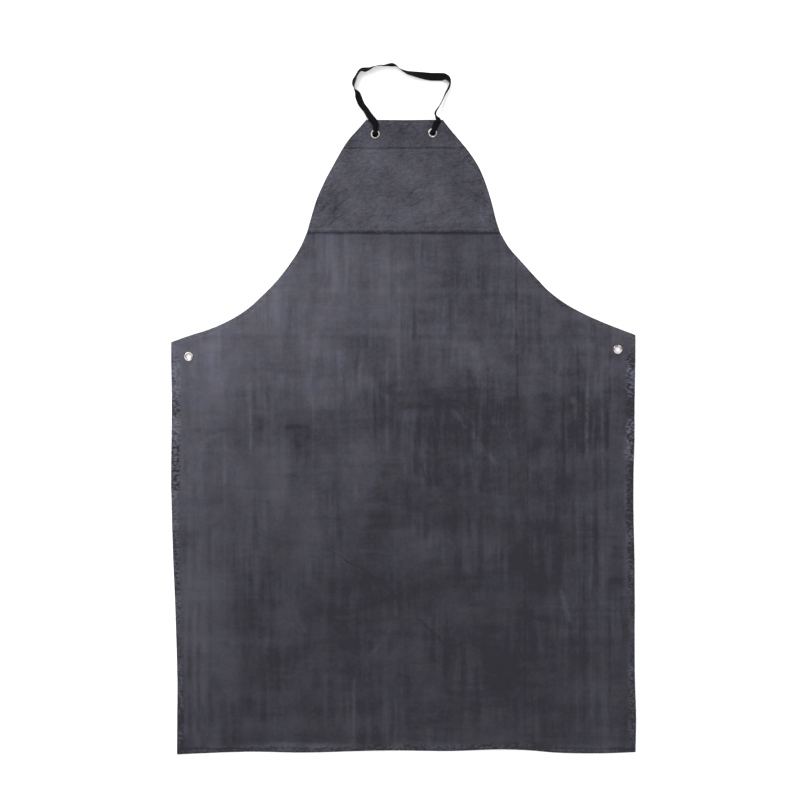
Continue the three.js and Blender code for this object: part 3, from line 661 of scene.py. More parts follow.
@dataclass(frozen=True)
class SheetWeave:
    """Divides the cut into rows and columns of mesh."""

    cut: ApronCut
    skirt_step: float = 4.0 * MM
    curve_step: float = 3.4 * MM
    inner_columns: int = 92

    def hem_insets(self) -> np.ndarray:
        """Distances in from an edge of the columns that shape a hem."""
        hem = self.cut.side_hem / MM
        steps = [0, 0.35, 0.9, 1.6, 3.0, 4.8, 6.0, 7.0, 8.0, hem, hem + self.cut.hem_step / MM]
        steps += [11.5, 14.0, 17.5, hem + self.cut.hem_landing / MM]
        return np.array(steps) * MM

    def rows(self) -> list[tuple[Stretch, float]]:
        """Stretch and rise of every row, from the bottom edge to the top edge."""
        cut = self.cut
        insets = self.hem_insets()
        rows = [(Stretch.SKIRT, inset / cut.waist_left) for inset in insets]
        start = insets[-1] / cut.waist_left
        stop = 1 - 0.9 * self.skirt_step / cut.waist_left
        count = round((stop - start) * cut.waist_left / self.skirt_step)
        rows += [(Stretch.SKIRT, rise) for rise in np.linspace(start, stop, count + 1)[1:]]
        for stretch in (Stretch.ARMHOLE, Stretch.BIB):
            fine = np.linspace(0, 1, 2001)
            points = cut.edge(Side.LEFT, stretch, fine)
            run = np.concatenate([[0], np.cumsum(np.linalg.norm(np.diff(points, axis=0), axis=1))])
            count = round(run[-1] / self.curve_step)
            even = np.interp(np.linspace(0, run[-1], count + 1), run, fine)
            if stretch is Stretch.ARMHOLE:
                rows += [(stretch, float(rise)) for rise in even[:-1]]
            else:
                rows += [(stretch, float(rise)) for rise in self._bib_rises(even)]
        return rows

    def _bib_rises(self, even: np.ndarray) -> np.ndarray:
        """Rises of the bib's rows: even ones, with exact ones at the seam and the top hem."""
        cut = self.cut
        seam = np.array([0, 0.6, 1.5, 2.5, 3.5, 4.5, 5.5, 7.0, 8.5, 10.0]) * MM / cut.bib_depth
        below = 1 - (cut.top_hem + np.array([15.0, 12.0, 9.0, 6.0, 3.0, 0.6, 0]) * MM) / cut.bib_depth
        top = 1 - np.array([3.0, 1.6, 0.9, 0.35, 0.0]) * MM / cut.bib_depth
        exact = np.concatenate([seam, below, top])
        apart = np.abs(even[:, None] - exact[None, :]).min(axis=1) > 1.2 * MM / cut.bib_depth
        return np.unique(np.concatenate([even[apart], exact]))

    def grid(self) -> tuple[SheetGrid, np.ndarray]:
        """Lays out every point of the sheet.

        Returns:
            The grid in the cut's own coordinates, and the mask of rows that belong to the bib.
        """
        cut = self.cut
        insets = self.hem_insets()
        share = 0.5 - 0.5 * np.cos(np.pi * np.arange(1, self.inner_columns) / self.inner_columns)
        even = np.arange(1, self.inner_columns) / self.inner_columns
        share = 0.35 * share + 0.65 * even
        rows = self.rows()
        places, ups, downs, seams = [], [], [], []
        for stretch, rise in rows:
            left = cut.inset(Side.LEFT, stretch, rise, insets)
            right = cut.inset(Side.RIGHT, stretch, rise, insets)
            inner = left[-1] + share[:, None] * (right[-1] - left[-1])
            places.append(np.concatenate([left, inner, right[::-1]]))
            ups.append(rise * cut.waist_left if stretch is Stretch.SKIRT else cut.length)
            downs.append((1 - rise) * cut.bib_depth if stretch is Stretch.BIB else cut.length)
            seams.append(rise * cut.bib_depth if stretch is Stretch.BIB else 0.0)
        place = np.array(places)
        x, y = place[..., 0], place[..., 1]
        across = np.clip((x + cut.half_width) / cut.skirt_width, 0, 1)
        wave = cut.bottom_wave * smooth_value(BOTTOM_SECTIONS, across, "height")
        y = y + wave * fade(y, cut.bottom_wave_reach * cut.length)
        columns = x.shape[1]
        side = np.full(columns, cut.skirt_width)
        side[: len(insets)] = insets
        side[columns - len(insets) :] = insets[::-1]
        ones = np.ones_like(x)

        def run_of(column: int) -> np.ndarray:
            """Distance of each row along the edge in that column."""
            edge = np.stack([x[:, column], y[:, column]], axis=-1)
            steps = np.linalg.norm(np.diff(edge, axis=0), axis=1)
            return np.concatenate([[0], np.cumsum(steps)])

        grid = SheetGrid(
            x=x,
            y=y,
            side_inset=ones * side,
            up=ones * np.array(ups)[:, None],
            down=ones * np.array(downs)[:, None],
            seam=ones * np.array(seams)[:, None],
            run_left=ones * run_of(0)[:, None],
            run_right=ones * run_of(columns - 1)[:, None],
            nearer_left=(ones * (np.arange(columns) < columns // 2)).astype(bool),
        )
        bib = np.array([stretch is Stretch.BIB for stretch, _ in rows])
        return grid, bib


def layered_faces(rows: int, columns: int) -> np.ndarray:
    """Faces of a closed sheet with a front and a back layer of points.

    Args:
        rows: Rows of points in each layer.
        columns: Columns of points in each layer.

    Returns:
        Quads as rows of four indices, facing out: front, back, and the walls round the rim.
    """
    index = np.arange(rows * columns).reshape(rows, columns)
    back = index + rows * columns
    a, b, c, d = index[:-1, :-1], index[:-1, 1:], index[1:, 1:], index[1:, :-1]
    e, f, g, h = back[:-1, :-1], back[:-1, 1:], back[1:, 1:], back[1:, :-1]
    quads = (
        ((a, b, c, d), np.s_[:, :]),
        ((e, h, g, f), np.s_[:, :]),
        ((a, d, h, e), np.s_[:, 0]),
        ((c, b, f, g), np.s_[:, -1]),
        ((b, a, e, f), np.s_[0]),
        ((d, c, g, h), np.s_[-1]),
    )
    return np.concatenate([np.stack(corners, -1)[where].reshape(-1, 4) for corners, where in quads])


class Finish:
    """Base of the finishes: makes one material with a node graph of its own."""

    name = "finish"

    def material(self) -> bpy.types.Material:
        """Makes the material once and returns it."""
        title = f"{self.name} finish"
        found = bpy.data.materials.get(title)
        if found is not None:
            return found
        material = bpy.data.materials.new(title)
        material.use_nodes = True
        material.node_tree.nodes.clear()
        graph = Graph(material.node_tree)
        shader = graph.node("ShaderNodeBsdfPrincipled")
        self.dress(graph, shader)
        output = graph.node("ShaderNodeOutputMaterial")
        graph.tree.links.new(shader.outputs["BSDF"], output.inputs["Surface"])
        return material

    def dress(self, graph: Graph, shader: bpy.types.Node) -> None:
        """Fills in the shader's sockets."""
        raise NotImplementedError


class Graph:
    """A thin layer over a node tree that makes nodes and wires them in one call."""

    def __init__(self, tree: bpy.types.NodeTree) -> None:
        """Keeps the tree that the nodes go into."""
        self.tree = tree

    def node(self, kind: str, inputs: dict | None = None, **settings: object) -> bpy.types.Node:
        """Adds a node.

        Args:
            kind: Blender's name for the node type.
            inputs: Input names or numbers, each with a socket to link or a value to set.
            **settings: Attributes of the node itself.

        Returns:
            The new node.
        """
        node = self.tree.nodes.new(kind)
        for key, value in settings.items():
            setattr(node, key, value)
        self.fill(node, inputs or {})
        return node

    def fill(self, node: bpy.types.Node, inputs: dict) -> None:
        """Links sockets to a node's inputs, or sets their values."""
        for key, value in inputs.items():
            if isinstance(value, bpy.types.NodeSocket):
                self.tree.links.new(value, node.inputs[key])
            else:
                node.inputs[key].default_value = value

    def math(self, operation: str, a: object, b: object = 0.0, c: object = 0.0) -> bpy.types.NodeSocket:
        """Adds a math node and returns its value."""
        node = self.node("ShaderNodeMath", {0: a, 1: b, 2: c}, operation=operation)
        return node.outputs[0]

    def vector(self, operation: str, a: object, b: object = (0, 0, 0)) -> bpy.types.Node:
        """Adds a vector math node and returns it."""
        return self.node("ShaderNodeVectorMath", {0: a, 1: b}, operation=operation)

    def remap(
        self, value: object, low: float, high: float, to_low: float, to_high: float
    ) -> bpy.types.NodeSocket:
        """Maps a value smoothly from one range to another.

        A smooth step holds its ends by itself, so the node's own clamp is off. With it on, the marks
        on the rubber nearly fill the store that Cycles has for a shader's values.
        """
        node = self.node(
            "ShaderNodeMapRange",
            {"Value": value, "From Min": low, "From Max": high, "To Min": to_low, "To Max": to_high},
            interpolation_type="SMOOTHSTEP",
            clamp=False,
        )
        return node.outputs[0]

    def blend(self, factor: object, a: object, b: object, mode: str = "MIX") -> bpy.types.NodeSocket:
        """Blends two colours and returns the result."""
        inputs = {0: factor, 6: a, 7: b}
        return self.node("ShaderNodeMix", inputs, data_type="RGBA", blend_type=mode).outputs[2]

    def xyz(self, x: object, y: object, z: object) -> bpy.types.NodeSocket:
        """Joins three values into a place."""
        return self.node("ShaderNodeCombineXYZ", {0: x, 1: y, 2: z}).outputs[0]

    def drift(self, place: object, scale: float, detail: float) -> bpy.types.NodeSocket:
        """A smooth random offset from -0.5 to 0.5 along each axis."""
        node = self.node("ShaderNodeTexNoise", {"Vector": place, "Scale": scale, "Detail": detail})
        return self.vector("SUBTRACT", node.outputs["Color"], (0.5, 0.5, 0.5)).outputs[0]

    def bump(self, height: object, strength: float, distance: float) -> bpy.types.NodeSocket:
        """Turns a height into a normal."""
        inputs = {"Strength": strength, "Distance": distance, "Height": height}
        return self.node("ShaderNodeBump", inputs).outputs[0]

    def noise(
        self, place: object, scale: object, detail: float, roughness: float = 0.5
    ) -> bpy.types.NodeSocket:
        """Adds a noise texture and returns its factor."""
        node = self.node(
            "ShaderNodeTexNoise",
            {"Vector": place, "Scale": scale, "Detail": detail, "Roughness": roughness},
        )
        return node.outputs[0]

    def stretched(self, place: object, scale: tuple[float, float, float]) -> bpy.types.NodeSocket:
        """Multiplies a place by a scale for each axis."""
        return self.vector("MULTIPLY", place, scale).outputs[0]

    def effect(self, effect: Effect, inputs: dict) -> bpy.types.Node:
        """Places an effect's node group and fills in its inputs."""
        return self.node("ShaderNodeGroup", inputs, node_tree=effect.group())


class Effect:
    """Base of the shader node groups that several materials share."""

    name = "effect"
    inputs: tuple[tuple[str, str, object], ...] = ()
    outputs: tuple[str, ...] = ()

    def group(self) -> bpy.types.NodeTree:
        """Makes the node group once and returns it."""
        found = bpy.data.node_groups.get(self.name)
        if found is not None:
            return found
        tree = bpy.data.node_groups.new(self.name, "ShaderNodeTree")
        for title, kind, value in self.inputs:
            socket = tree.interface.new_socket(title, in_out="INPUT", socket_type=kind)
            socket.default_value = value
        for title in self.outputs:
            tree.interface.new_socket(title, in_out="OUTPUT", socket_type="NodeSocketFloat")
        graph = Graph(tree)
        source = graph.node("NodeGroupInput")
        results = self.build(graph, source)
        sink = graph.node("NodeGroupOutput")
        for title, socket in results.items():
            tree.links.new(socket, sink.inputs[title])
        return tree

    def build(self, graph: Graph, source: bpy.types.Node) -> dict[str, bpy.types.NodeSocket]:
        """Builds the inside and returns the output sockets by name."""
        raise NotImplementedError


class SoftPatch(Effect):
    """A soft oval patch: 1 in its middle and 0 at its edge.

    Across and Along are its two directions, each divided by its reach.
    """

    name = "soft_patch"
    inputs = (
        ("Place", "NodeSocketVector", (0, 0, 0)),
        ("Centre", "NodeSocketVector", (0, 0, 0)),
        ("Across", "NodeSocketVector", (1, 0, 0)),
        ("Along", "NodeSocketVector", (0, 1, 0)),
    )
    outputs = ("Mask",)

    def build(self, graph: Graph, source: bpy.types.Node) -> dict[str, bpy.types.NodeSocket]:
        """See Effect.build."""
        shifted = graph.vector("SUBTRACT", source.outputs["Place"], source.outputs["Centre"]).outputs[0]
        across = graph.vector("DOT_PRODUCT", shifted, source.outputs["Across"]).outputs["Value"]
        along = graph.vector("DOT_PRODUCT", shifted, source.outputs["Along"]).outputs["Value"]
        square = graph.math("MULTIPLY_ADD", across, across, graph.math("MULTIPLY", along, along))
        return {"Mask": graph.remap(graph.math("SQRT", square), 0.0, 1.0, 1.0, 0.0)}


class CreaseLine(Effect):
    """A thin soft line between two points, broken up by a mask. All three places are flat, with no z."""

    name = "crease_line"
    inputs = (
        ("Place", "NodeSocketVector", (0, 0, 0)),
        ("Start", "NodeSocketVector", (0, 0, 0)),
        ("End", "NodeSocketVector", (1, 0, 0)),
        ("Width", "NodeSocketFloat", 0.003),
        ("Broken", "NodeSocketFloat", 1.0),
    )
    outputs = ("Mask",)

    def build(self, graph: Graph, source: bpy.types.Node) -> dict[str, bpy.types.NodeSocket]:
        """See Effect.build."""
        along = graph.vector("SUBTRACT", source.outputs["End"], source.outputs["Start"])
        reach = graph.vector("SUBTRACT", source.outputs["Place"], source.outputs["Start"])
        dot = graph.vector("DOT_PRODUCT", reach.outputs[0], along.outputs[0]).outputs["Value"]
        size = graph.vector("DOT_PRODUCT", along.outputs[0], along.outputs[0]).outputs["Value"]
        share = graph.node("ShaderNodeClamp", {0: graph.math("DIVIDE", dot, size)}).outputs[0]
        scaled = graph.node("ShaderNodeVectorMath", {0: along.outputs[0], "Scale": share}, operation="SCALE")
        rest = graph.vector("SUBTRACT", reach.outputs[0], scaled.outputs[0])
        distance = graph.vector("LENGTH", rest.outputs[0]).outputs["Value"]
        line = graph.math("SUBTRACT", 1.0, graph.math("DIVIDE", distance, source.outputs["Width"]))
        line = graph.math("MAXIMUM", line, 0.0)
        ends = graph.math("MULTIPLY", share, graph.math("SUBTRACT", 1.0, share))
        ends = graph.remap(ends, 0.0, 0.12, 0.25, 1.0)
        mask = graph.math("MULTIPLY", graph.math("MULTIPLY", line, ends), source.outputs["Broken"])
        return {"Mask": mask}


class LevelLine(Effect):
    """A soft line across the sheet at one height."""

    name = "level_line"
    inputs = (
        ("Place", "NodeSocketVector", (0, 0, 0)),
        ("Height", "NodeSocketFloat", 0.0),
        ("Width", "NodeSocketFloat", 0.003),
        ("Reach", "NodeSocketFloat", 1.0),
    )
    outputs = ("Mask",)

    def build(self, graph: Graph, source: bpy.types.Node) -> dict[str, bpy.types.NodeSocket]:
        """See Effect.build."""
        parts = graph.node("ShaderNodeSeparateXYZ", {0: source.outputs["Place"]})
        away = graph.math("ABSOLUTE", graph.math("SUBTRACT", parts.outputs[1], source.outputs["Height"]))
        line = graph.remap(graph.math("DIVIDE", away, source.outputs["Width"]), 0.2, 1.0, 1.0, 0.0)
        side = graph.math("DIVIDE", graph.math("ABSOLUTE", parts.outputs[0]), source.outputs["Reach"])
        inside = graph.remap(side, 0.7, 1.0, 1.0, 0.0)
        return {"Mask": graph.math("MULTIPLY", line, inside)}


class RubberBloom(Effect):
    """Cloudy bloom of old sheet rubber, in broad clouds and small blotches, from -1 to 1."""

    name = "rubber_bloom"
    inputs = (
        ("Place", "NodeSocketVector", (0, 0, 0)),
        ("Cloud Scale", "NodeSocketFloat", 7.0),
        ("Blotch Scale", "NodeSocketFloat", 34.0),
        ("Speck Scale", "NodeSocketFloat", 160.0),
    )
    outputs = ("Clouds", "Blotches", "Specks")

    def build(self, graph: Graph, source: bpy.types.Node) -> dict[str, bpy.types.NodeSocket]:
        """See Effect.build."""
        place = source.outputs["Place"]
        layers = (
            ("Clouds", "Cloud Scale", 3.0),
            ("Blotches", "Blotch Scale", 4.0),
            ("Specks", "Speck Scale", 3.0),
        )
        return {
            title: graph.remap(graph.noise(place, source.outputs[scale], detail, 0.55), 0.25, 0.75, -1.0, 1.0)
            for title, scale, detail in layers
        }


class CalenderStreaks(Effect):
    """Long and level streaks that the rollers leave in sheet rubber, from -1 to 1."""

    name = "calender_streaks"
    inputs = (
        ("Place", "NodeSocketVector", (0, 0, 0)),
        ("Across Scale", "NodeSocketFloat", 75.0),
        ("Along Scale", "NodeSocketFloat", 5.5),
    )
    outputs = ("Fine", "Fine Cross", "Broad", "Cross")

    def build(self, graph: Graph, source: bpy.types.Node) -> dict[str, bpy.types.NodeSocket]:
        """See Effect.build."""
        place = source.outputs["Place"]
        shift = graph.vector("MULTIPLY", graph.drift(place, 6.0, 3.0), (0.012, 0.018, 0)).outputs[0]
        moved = graph.vector("ADD", place, shift).outputs[0]
        patchy = graph.remap(graph.noise(place, 9.0, 4.0, 0.6), 0.42, 0.62, 0.12, 1.0)
        other = graph.remap(graph.noise(place, 11.0, 4.0, 0.6), 0.58, 0.4, 0.05, 1.0)
        parts = graph.node("ShaderNodeSeparateXYZ", {0: moved})
        x, y = parts.outputs[0], parts.outputs[1]
        across = graph.math("MULTIPLY", x, source.outputs["Across Scale"])
        along = graph.math("MULTIPLY", y, source.outputs["Along Scale"])
        fine = graph.xyz(across, along, 0.0)
        wide = graph.xyz(graph.math("MULTIPLY", across, 0.23), along, 4.0)
        cross = graph.xyz(graph.math("MULTIPLY", x, 2.4), graph.math("MULTIPLY", y, 13.0), 9.0)
        level = graph.xyz(graph.math("MULTIPLY", x, 8.0), graph.math("MULTIPLY", y, 70.0), 5.0)
        fine = graph.remap(graph.noise(fine, 1.0, 3.0, 0.6), 0.3, 0.7, -1.0, 1.0)
        level = graph.remap(graph.noise(level, 1.0, 3.0, 0.6), 0.3, 0.7, -1.0, 1.0)
        return {
            "Fine": graph.math("MULTIPLY", fine, patchy),
            "Fine Cross": graph.math("MULTIPLY", level, other),
            "Broad": graph.remap(graph.noise(wide, 1.0, 2.0), 0.3, 0.7, -1.0, 1.0),
            "Cross": graph.remap(graph.noise(cross, 1.0, 2.0), 0.3, 0.7, -1.0, 1.0),
        }


class PatchSpot(NamedTuple):
    """A soft patch of paler or darker tone, placed in the frame, in metres, with its turn in degrees.
    The patches paint the soft lights' sheen and highlight as well as bloom.
    """

    x: float
    y: float
    reach_x: float
    reach_y: float
    turn: float
    strength: float


class CrossLine(NamedTuple):
    """A soft line right across at one height, in metres, out to a reach on both sides.
    Dark lines paint the shade under steps and ridges, pale ones the light on their upper slopes.
    """

    y: float
    width: float
    reach: float
    strength: float


class CreaseMark(NamedTuple):
    """A thin crease mark from one point to another, in metres. Pale marks paint creases' highlights and pale
    scuffs; dark marks paint the shade in creases.
    """

    x1: float
    y1: float
    x2: float
    y2: float
    width: float
    strength: float
    upright: bool = False


@dataclass(frozen=True)
class RubberFinish(Finish):
    """Matt grey-black sheet rubber with bloom, streaks and creases, and with painted light and shade:
    a painted sheen over the upper sheet and in pale patches, and painted highlights and shade along
    the creases, folds, hems, seam lines and edges.

    The strengths are shares of the way from the dark to the pale colour. Heights and reaches are in
    metres. Wrinkles are the bib's alone, and leave the skirt's shader out when they are 0.

    Cycles paints a material black, without an error, when its shader needs more values at once than
    fit in its store. So each mark is added at once to the tone so far, and Graph.remap does without
    the node's clamp.
    """

    name: str = "skirt_rubber"
    dark: tuple[float, float, float] = (0.0106, 0.0097, 0.0152)
    pale: tuple[float, float, float] = (0.0890, 0.0896, 0.1155)
    tone: float = 0.075
    streaks: float = 0.085
    cross_streaks: float = 0.042
    broad: float = 0.05
    cross: float = 0.04
    clouds: float = 0.058
    blotches: float = 0.05
    specks: float = 0.036
    tint: float = 0.5
    # hem and hem_band: strength and width of the painted highlights and shade of the hem crinkles; edge and
    # rim: strength and width of the painted shade along the outer edge.
    hem: float = 0.2
    hem_band: float = 0.018
    edge: float = -0.16
    roughness: float = 0.62
    relief: float = 0.25
    wrinkles: float = 0.0
    # zone is the strength of a painted sheen over the upper sheet, standing in for the key light's glow;
    # zone_height and zone_reach place its ragged lower border.
    zone: float = 0.155
    zone_height: float = 0.034
    zone_reach: float = 0.045
    busy_levels: tuple[float, float] = (-0.42, -0.05)
    busy_range: tuple[float, float] = (0.88, 1.14)
    busy_in_zone: float = 0.36
    rim: float = 3 * MM
    patches: tuple[PatchSpot, ...] = ()
    creases: tuple[CreaseMark, ...] = ()
    lines: tuple[CrossLine, ...] = ()

    def dress(self, graph: Graph, shader: bpy.types.Node) -> None:
        """See Finish.dress."""
        place = graph.node("ShaderNodeTexCoord").outputs["Object"]
        tone = self._creased(graph, place, self._patched(graph, place))
        bloom = graph.effect(RubberBloom(), {"Place": place}).outputs
        streaks = graph.effect(CalenderStreaks(), {"Place": place}).outputs
        tone = self._layered(graph, place, bloom, streaks, tone)
        height = graph.math("MULTIPLY_ADD", bloom["Specks"], 0.35, streaks["Fine"])
        if self.wrinkles:
            tone, height = self._wrinkled(graph, place, tone, height)
        tone, height = self._hemmed(graph, place, tone, height)
        tone = graph.node("ShaderNodeClamp", {0: tone}).outputs[0]
        colour = graph.blend(tone, (*self.dark, 1), (*self.pale, 1))
        inputs = {
            "Base Color": self._tinted(graph, place, colour),
            "Roughness": graph.math("MULTIPLY_ADD", bloom["Blotches"], 0.06, self.roughness),
            "Normal": graph.bump(height, self.relief, 0.4 * MM),
            "Specular IOR Level": 0.2,
        }
        graph.fill(shader, inputs)

    def _patched(self, graph: Graph, place: bpy.types.NodeSocket) -> object:
        """The plain tone with the soft patches of painted sheen, painted shade and bloom, or just its value
        where there are none.
        """
        tone: object = self.tone
        for spot in self.patches:
            cos, sin = math.cos(math.radians(spot.turn)), math.sin(math.radians(spot.turn))
            inputs = {
                "Place": place,
                "Centre": (spot.x, spot.y, 0),
                "Across": (cos / spot.reach_x, sin / spot.reach_x, 0),
                "Along": (-sin / spot.reach_y, cos / spot.reach_y, 0),
            }
            mask = graph.effect(SoftPatch(), inputs).outputs["Mask"]
            tone = graph.math("MULTIPLY_ADD", mask, spot.strength, tone)
        return tone

    def _layered(
        self,
        graph: Graph,
        place: bpy.types.NodeSocket,
        bloom: bpy.types.bpy_prop_collection,
        streaks: bpy.types.bpy_prop_collection,
        tone: object,
    ) -> bpy.types.NodeSocket:
        """Adds the pale upper zone of painted sheen, and the random bloom and streaks, stronger higher up the
        sheet.
        """
        sheen_zone = self._sheen_zone(graph, place, bloom["Clouds"])
        tone = graph.math("MULTIPLY_ADD", sheen_zone, self.zone, tone)
        level = graph.node("ShaderNodeSeparateXYZ", {0: place}).outputs[1]
        rising = graph.remap(level, *self.busy_levels, *self.busy_range)
        busy = graph.math("MULTIPLY_ADD", sheen_zone, self.busy_in_zone, rising)
        marks = graph.math("MULTIPLY", streaks["Fine"], self.streaks)
        layers = (
            (streaks["Fine Cross"], self.cross_streaks),
            (streaks["Broad"], self.broad),
            (streaks["Cross"], self.cross),
            (bloom["Clouds"], self.clouds),
            (bloom["Blotches"], self.blotches),
            (bloom["Specks"], self.specks),
        )
        for socket, strength in layers:
            marks = graph.math("MULTIPLY_ADD", socket, strength, marks)
        return graph.math("MULTIPLY_ADD", marks, busy, tone)

    def _creased(self, graph: Graph, place: bpy.types.NodeSocket, tone: object) -> object:
        """Adds the creases, the upright streaks and the lines across to the tone: painted highlights and
        shade of creases, folds, the seam and ripples, along with pale scuffs.
        """
        wander = graph.drift(place, 22.0, 2.0)
        bent, straight = (self._bent(graph, place, wander, size) for size in (20 * MM, 4 * MM))
        broken = graph.remap(graph.noise(place, 40.0, 2.0), 0.35, 0.6, 0.3, 1.0)
        for mark in self.creases:
            inputs = {
                "Place": straight if mark.upright else bent,
                "Start": (mark.x1, mark.y1, 0),
                "End": (mark.x2, mark.y2, 0),
                "Width": mark.width,
                "Broken": broken,
            }
            mask = graph.effect(CreaseLine(), inputs).outputs["Mask"]
            tone = graph.math("MULTIPLY_ADD", mask, mark.strength, tone)
        for line in self.lines:
            inputs = {"Place": straight, "Height": line.y, "Width": line.width, "Reach": line.reach}
            mask = graph.effect(LevelLine(), inputs).outputs["Mask"]
            tone = graph.math("MULTIPLY_ADD", mask, line.strength, tone)
        return tone

    def _bent(
        self, graph: Graph, place: bpy.types.NodeSocket, wander: bpy.types.NodeSocket, size: float
    ) -> bpy.types.NodeSocket:
        """The place without its height, shifted at random by up to half the given size."""
        offset = graph.vector("MULTIPLY", wander, (size, size, 0)).outputs[0]
        moved = graph.vector("ADD", place, offset).outputs[0]
        return graph.vector("MULTIPLY", moved, (1, 1, 0)).outputs[0]

    def _sheen_zone(
        self, graph: Graph, place: bpy.types.NodeSocket, ragged: bpy.types.NodeSocket
    ) -> bpy.types.NodeSocket:
        """Mask of the upper part of the sheet, where a paler painted sheen stands in for the soft lights'
        glow, with a ragged lower border.
        """
        level = graph.node("ShaderNodeSeparateXYZ", {0: place}).outputs[1]
        level = graph.math("MULTIPLY_ADD", ragged, 0.5 * self.zone_reach, level)
        low, high = self.zone_height - self.zone_reach, self.zone_height + self.zone_reach
        return graph.remap(level, low, high, 0.0, 1.0)

    def _hemmed(
        self,
        graph: Graph,
        place: bpy.types.NodeSocket,
        tone: bpy.types.NodeSocket,
        height: bpy.types.NodeSocket,
    ) -> tuple[bpy.types.NodeSocket, bpy.types.NodeSocket]:
        """Adds the crinkled band along the stitched hems, with painted highlights and shade of the crinkles
        and dusty scuffs in the tone, and the darker rim, painted shade where the edge turns down.
        """
        uv = graph.node("ShaderNodeSeparateXYZ", {0: graph.node("ShaderNodeUVMap", uv_map="hem").outputs[0]})
        strength, inset = uv.outputs[0], uv.outputs[1]
        drawn = graph.stretched(place, (0.75, 1.2, 0.0))
        lumps = graph.remap(graph.noise(drawn, 185.0, 3.0, 0.6), 0.4, 0.6, -1.0, 1.0)
        shift = graph.remap(graph.noise(place, 24.0, 2.0), 0.4, 0.6, -0.6, 0.55)
        lumps = graph.math("ADD", lumps, shift)
        reach = graph.math("MULTIPLY_ADD", strength, 0.32, 0.62)
        band = graph.remap(graph.math("DIVIDE", inset, reach), 0.4 * self.hem_band, self.hem_band, 1.0, 0.0)
        crinkle_relief_and_shade = graph.math("MULTIPLY", graph.math("MULTIPLY", lumps, band), strength)
        # The crinkles' painted highlights and shade, with dusty scuffs, go into the tone; the same pattern
        # goes into the bump.
        tone = graph.math("MULTIPLY_ADD", crinkle_relief_and_shade, self.hem, tone)
        # Painted shade along the outermost few millimetres, where the edge turns down.
        rim = graph.remap(inset, 0.0, self.rim, 1.0, 0.0)
        tone = graph.math("MULTIPLY_ADD", rim, self.edge, tone)
        return tone, graph.math("MULTIPLY_ADD", crinkle_relief_and_shade, 2.2, height)

    def _tinted(
        self, graph: Graph, place: bpy.types.NodeSocket, colour: bpy.types.NodeSocket
    ) -> bpy.types.NodeSocket:
        """Lets the grey drift between a brownish and a bluish cast."""
        flat = graph.stretched(place, (1.0, 1.0, 0.0))
        share = graph.remap(graph.noise(flat, 19.0, 3.0, 0.6), 0.38, 0.62, 0.0, 1.0)
        cast = graph.blend(share, (1.05, 0.985, 0.93, 1), (0.96, 0.99, 1.07, 1))
        return graph.blend(self.tint, colour, cast, "MULTIPLY")

    def _wrinkled(
        self,
        graph: Graph,
        place: bpy.types.NodeSocket,
        tone: bpy.types.NodeSocket,
        height: bpy.types.NodeSocket,
    ) -> tuple[bpy.types.NodeSocket, bpy.types.NodeSocket]:
        """Adds the small leathery wrinkles of the bib's rubber to the relief, and to the tone as painted
        shade along their folds and a paler and darker grain.
        """
        slanted = graph.node(
            "ShaderNodeVectorRotate", {"Vector": place, "Angle": math.radians(-38)}, rotation_type="Z_AXIS"
        )
        drawn = graph.stretched(slanted.outputs[0], (62.0, 105.0, 0.0))
        fine = graph.remap(graph.noise(drawn, 1.0, 4.0, 0.65), 0.32, 0.68, -1.0, 1.0)
        level = graph.stretched(place, (110.0, 260.0, 0.0))
        grain = graph.remap(graph.noise(level, 1.0, 2.0, 0.6), 0.34, 0.66, -0.8, 0.8)
        fine = graph.math("ADD", graph.math("MULTIPLY", fine, 0.85), grain)
        folds = graph.noise(graph.stretched(slanted.outputs[0], (34.0, 70.0, 0.0)), 1.0, 3.0, 0.55)
        folds = graph.math("ABSOLUTE", graph.math("SUBTRACT", folds, 0.5))
        folds = graph.remap(folds, 0.0, 0.05, -1.0, 0.0)
        patchy = graph.remap(graph.noise(place, 16.0, 3.0, 0.6), 0.45, 0.62, 0.0, 1.5)
        folds = graph.math("MULTIPLY", folds, patchy)
        wrinkle = graph.math("ADD", fine, folds)
        # Painted shade: the tone follows the wrinkles and is darker along their folds.
        tone = graph.math("MULTIPLY_ADD", wrinkle, self.wrinkles, tone)
        return tone, graph.math("MULTIPLY_ADD", wrinkle, 1.4, height)


@dataclass(frozen=True)
class NickelFinish(Finish):
    """Bright plated metal with fine scratches, stains, painted shade on the flange's outer rim and a trace of
    tarnish in the bore.
    """

    name: str = "eyelet_metal"

    def dress(self, graph: Graph, shader: bpy.types.Node) -> None:
        """See Finish.dress."""
        place = graph.node("ShaderNodeTexCoord").outputs["Object"]
        stain = graph.remap(graph.noise(place, 150.0, 2.0), 0.42, 0.6, 0.0, 1.0)
        colour = graph.blend(stain, (0.62, 0.58, 0.56, 1), (0.20, 0.175, 0.165, 1))
        section = graph.node("ShaderNodeUVMap", uv_map="section").outputs[0]
        radius = graph.node("ShaderNodeSeparateXYZ", {0: section}).outputs[0]
        worn = graph.remap(radius, 5.6 * MM, 6.4 * MM, 1.0, 0.0)
        colour = graph.blend(worn, colour, (0.17, 0.085, 0.07, 1))
        # Painted shade: the outer millimetre of the flange is darkened, standing in for the dim parts of the
        # rolled ring.
        rim = graph.remap(radius, 7.8 * MM, 8.9 * MM, 0.0, 0.75)
        scratch = graph.noise(graph.stretched(place, (900.0, 3500.0, 900.0)), 1.0, 3.0)
        inputs = {
            "Base Color": graph.blend(rim, colour, (0.12, 0.11, 0.11, 1)),
            "Roughness": graph.remap(scratch, 0.3, 0.7, 0.16, 0.34),
            "Normal": graph.bump(scratch, 0.15, 0.1 * MM),
            "Metallic": 1.0,
        }
        graph.fill(shader, inputs)


